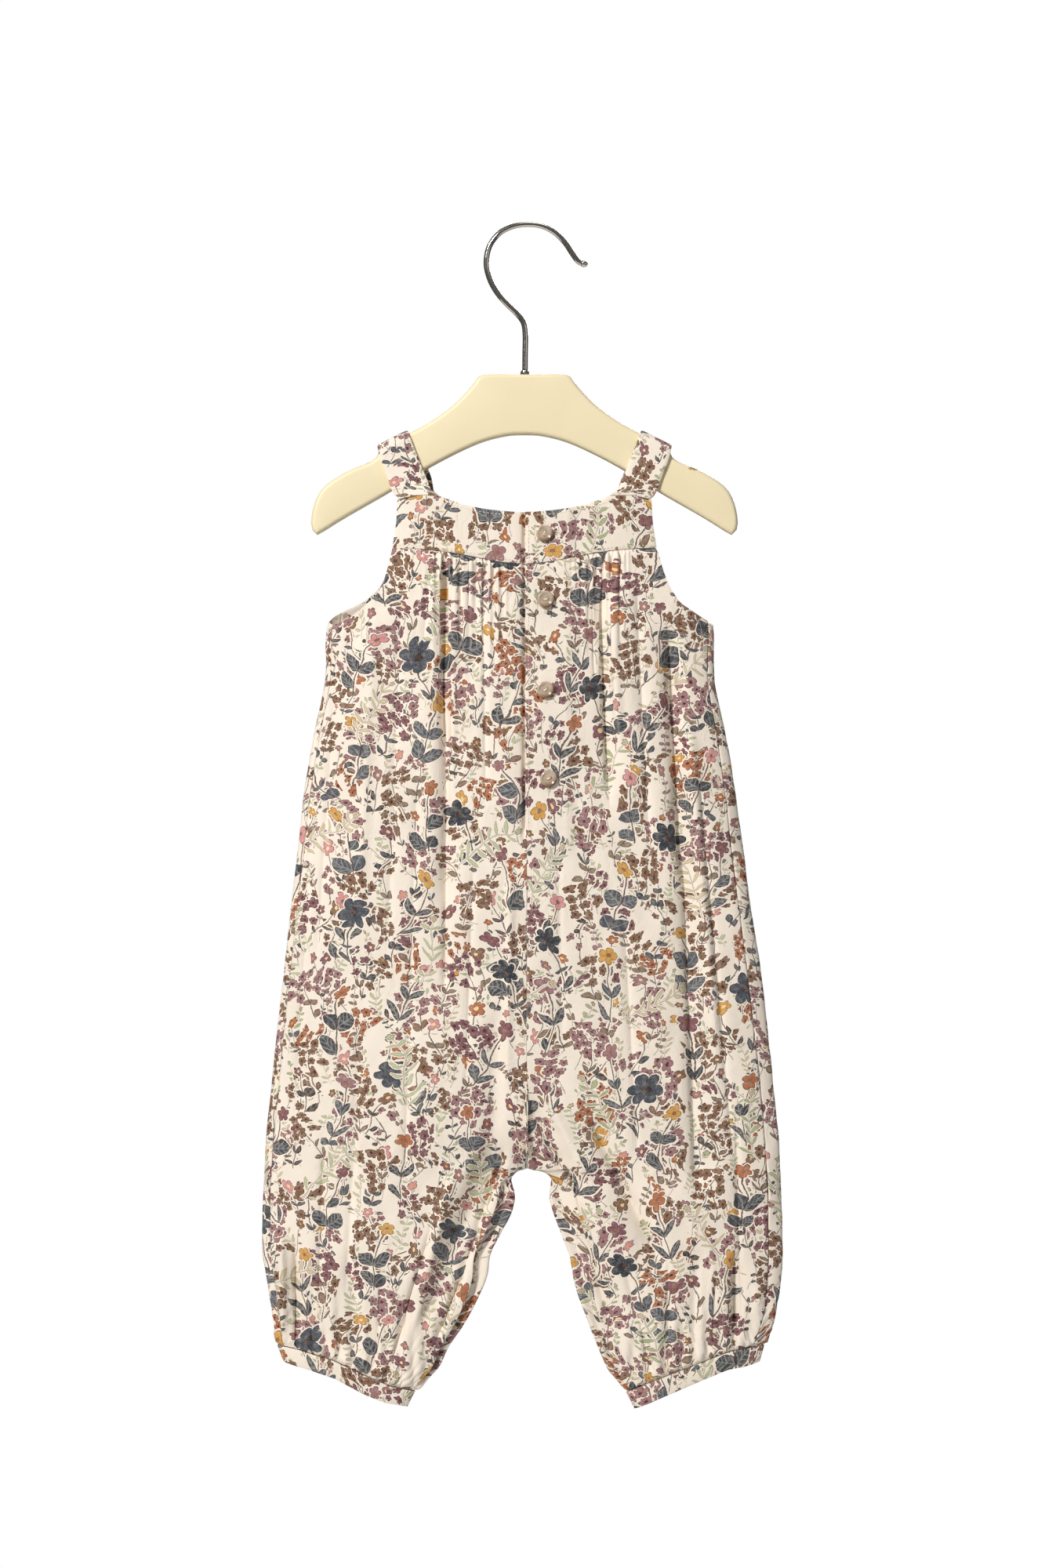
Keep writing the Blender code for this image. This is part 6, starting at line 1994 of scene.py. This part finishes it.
def studio():
    """A pale floor, soft lights, an even white ground behind the object, and the camera."""
    scene = bpy.context.scene
    shape = bmesh.new()
    bmesh.ops.create_grid(
        shape, x_segments=1, y_segments=1, size=FLOOR_SIZE / 2,
        matrix=Matrix.Translation((0, 0, FLOOR_HEIGHT)),
    )
    floor = in_scene("floor", as_mesh("floor", shape))
    floor.data.materials.append(pale_floor())

    world = bpy.data.worlds.new("studio")
    world.use_nodes = True
    tree = world.node_tree
    tree.nodes.clear()
    seen = put(tree, "LightPath", out=0)
    up = put(tree, "SeparateXYZ", [put(tree, "TexCoord", out=0)], out=2)
    dome = put(tree, "MapRange", {0: up, 1: -1.0, 2: 1.0, 3: 0.06, 4: 0.16})
    colour = put(tree, "CombineColor", [dome, dome, dome])
    colour = put(tree, "Mix", {0: seen, 6: colour, 7: (1.0, 1.0, 1.0, 1.0)}, 2, data_type="RGBA")
    end = tree.nodes.new("ShaderNodeOutputWorld")
    tree.links.new(put(tree, "Background", {0: colour}), end.inputs["Surface"])
    scene.world = world

    [area_light(*light) for light in LIGHTS]
    data = bpy.data.cameras.new("camera")
    data.sensor_fit = "VERTICAL"
    data.sensor_height = 36.0
    data.lens = CAMERA_LENS
    data.clip_start, data.clip_end = 0.05, 20.0
    camera = in_scene("camera", data)
    camera.location = CAMERA_PLACE
    camera.rotation_euler = (math.pi / 2, 0, 0)
    scene.camera = camera
    scene.view_settings.view_transform = "Standard"


class OVERALLS_OT_panels(bpy.types.Operator):
    """Make the two fronts and the two backs with their legs"""

    bl_idname = "overalls.panels"
    bl_label = "Fronts and backs"

    def execute(self, context):
        cloth, wrong_side = cloth_materials()
        for face, side in PANELS:
            body_panel(face, side, cloth, wrong_side)
        return {"FINISHED"}


class OVERALLS_OT_yokes(bpy.types.Operator):
    """Make the three yoke pieces and the button stand"""

    bl_idname = "overalls.yokes"
    bl_label = "Yokes and button stand"

    def execute(self, context):
        cloth, wrong_side = cloth_materials()
        edge = float(YOKE_SIDE_AT(YOKE_SEAM_SIDE))
        yoke("front_yoke_left", "front", -edge, STAND_SEAM, 0, False, cloth, wrong_side)
        yoke("front_yoke_right", "front", LAP_EDGE, edge, 0, True, cloth, wrong_side)
        yoke("back_yoke", "back", -edge, edge, BACK_NECK_DROP, False, cloth, wrong_side)
        button_stand(wrong_side)
        return {"FINISHED"}


class OVERALLS_OT_straps(bpy.types.Operator):
    """Make the two shoulder straps"""

    bl_idname = "overalls.straps"
    bl_label = "Straps"

    def execute(self, context):
        for side, word in SIDE_WORD.items():
            strap(f"strap_{word}", side, cloth_materials()[0])
        return {"FINISHED"}


class OVERALLS_OT_cuffs(bpy.types.Operator):
    """Make the two leg cuffs"""

    bl_idname = "overalls.cuffs"
    bl_label = "Cuffs"

    def execute(self, context):
        for side, word in SIDE_WORD.items():
            cuff(f"cuff_{word}", side, cloth_materials()[0])
        return {"FINISHED"}


class OVERALLS_OT_facings(bpy.types.Operator):
    """Make the facings inside the back armholes"""

    bl_idname = "overalls.facings"
    bl_label = "Armhole facings"

    def execute(self, context):
        for side, word in SIDE_WORD.items():
            armhole_facing(f"armhole_facing_{word}", side, cloth_materials()[0])
        return {"FINISHED"}


class OVERALLS_OT_buttons(bpy.types.Operator):
    """Make the four buttons and the thread that holds them"""

    bl_idname = "overalls.buttons"
    bl_label = "Buttons"

    def execute(self, context):
        resin = button_resin()
        shape = bmesh.new()
        for number in range(len(BUTTONS)):
            button(number, resin)
            button_thread(shape, number)
        finished("button_thread", shape, None, "button_resin", sewing_thread(), smooth=60)
        return {"FINISHED"}


class OVERALLS_OT_sewing(bpy.types.Operator):
    """Make the topstitching and the worked buttonholes"""

    bl_idname = "overalls.sewing"
    bl_label = "Sewing"

    def execute(self, context):
        sewing(sewing_thread())
        return {"FINISHED"}


class OVERALLS_OT_hanger(bpy.types.Operator):
    """Make the painted hanger with its hook and collar"""

    bl_idname = "overalls.hanger"
    bl_label = "Hanger"

    def execute(self, context):
        nickel = bright_wire()
        hanger_body(cream_paint())
        hanger_hook(nickel)
        hanger_collar(nickel)
        return {"FINISHED"}


class OVERALLS_OT_studio(bpy.types.Operator):
    """Make the floor, the lights and the camera"""

    bl_idname = "overalls.studio"
    bl_label = "Studio"

    def execute(self, context):
        studio()
        return {"FINISHED"}


OPERATORS = (
    OVERALLS_OT_hanger, OVERALLS_OT_straps, OVERALLS_OT_yokes, OVERALLS_OT_panels,
    OVERALLS_OT_cuffs, OVERALLS_OT_facings, OVERALLS_OT_buttons, OVERALLS_OT_sewing,
    OVERALLS_OT_studio,
)


class OVERALLS_PT_panel(bpy.types.Panel):
    """Lists the sizes, the colours and the pieces"""

    bl_idname = "OVERALLS_PT_panel"
    bl_label = "Overalls"
    bl_space_type = "VIEW_3D"
    bl_region_type = "UI"
    bl_category = "Overalls"

    def draw(self, context):
        for settings in (context.scene.overalls_sizes, context.scene.overalls_colours):
            box = self.layout.box()
            for name in settings.bl_rna.properties.keys():
                if name not in ("rna_type", "name"):
                    box.prop(settings, name)
        for operator in OPERATORS:
            self.layout.operator(operator.bl_idname)


CLASSES = (OverallsSizes, OverallsColours, *OPERATORS, OVERALLS_PT_panel)


def register():
    for made in CLASSES:
        bpy.utils.register_class(made)
    bpy.types.Scene.overalls_sizes = bpy.props.PointerProperty(type=OverallsSizes)
    bpy.types.Scene.overalls_colours = bpy.props.PointerProperty(type=OverallsColours)


def unregister():
    del bpy.types.Scene.overalls_sizes
    del bpy.types.Scene.overalls_colours
    for made in reversed(CLASSES):
        bpy.utils.unregister_class(made)


def main():
    register()
    for operator in OPERATORS:
        group, name = operator.bl_idname.split(".")
        getattr(getattr(bpy.ops, group), name)()


if __name__ == "__main__":
    main()
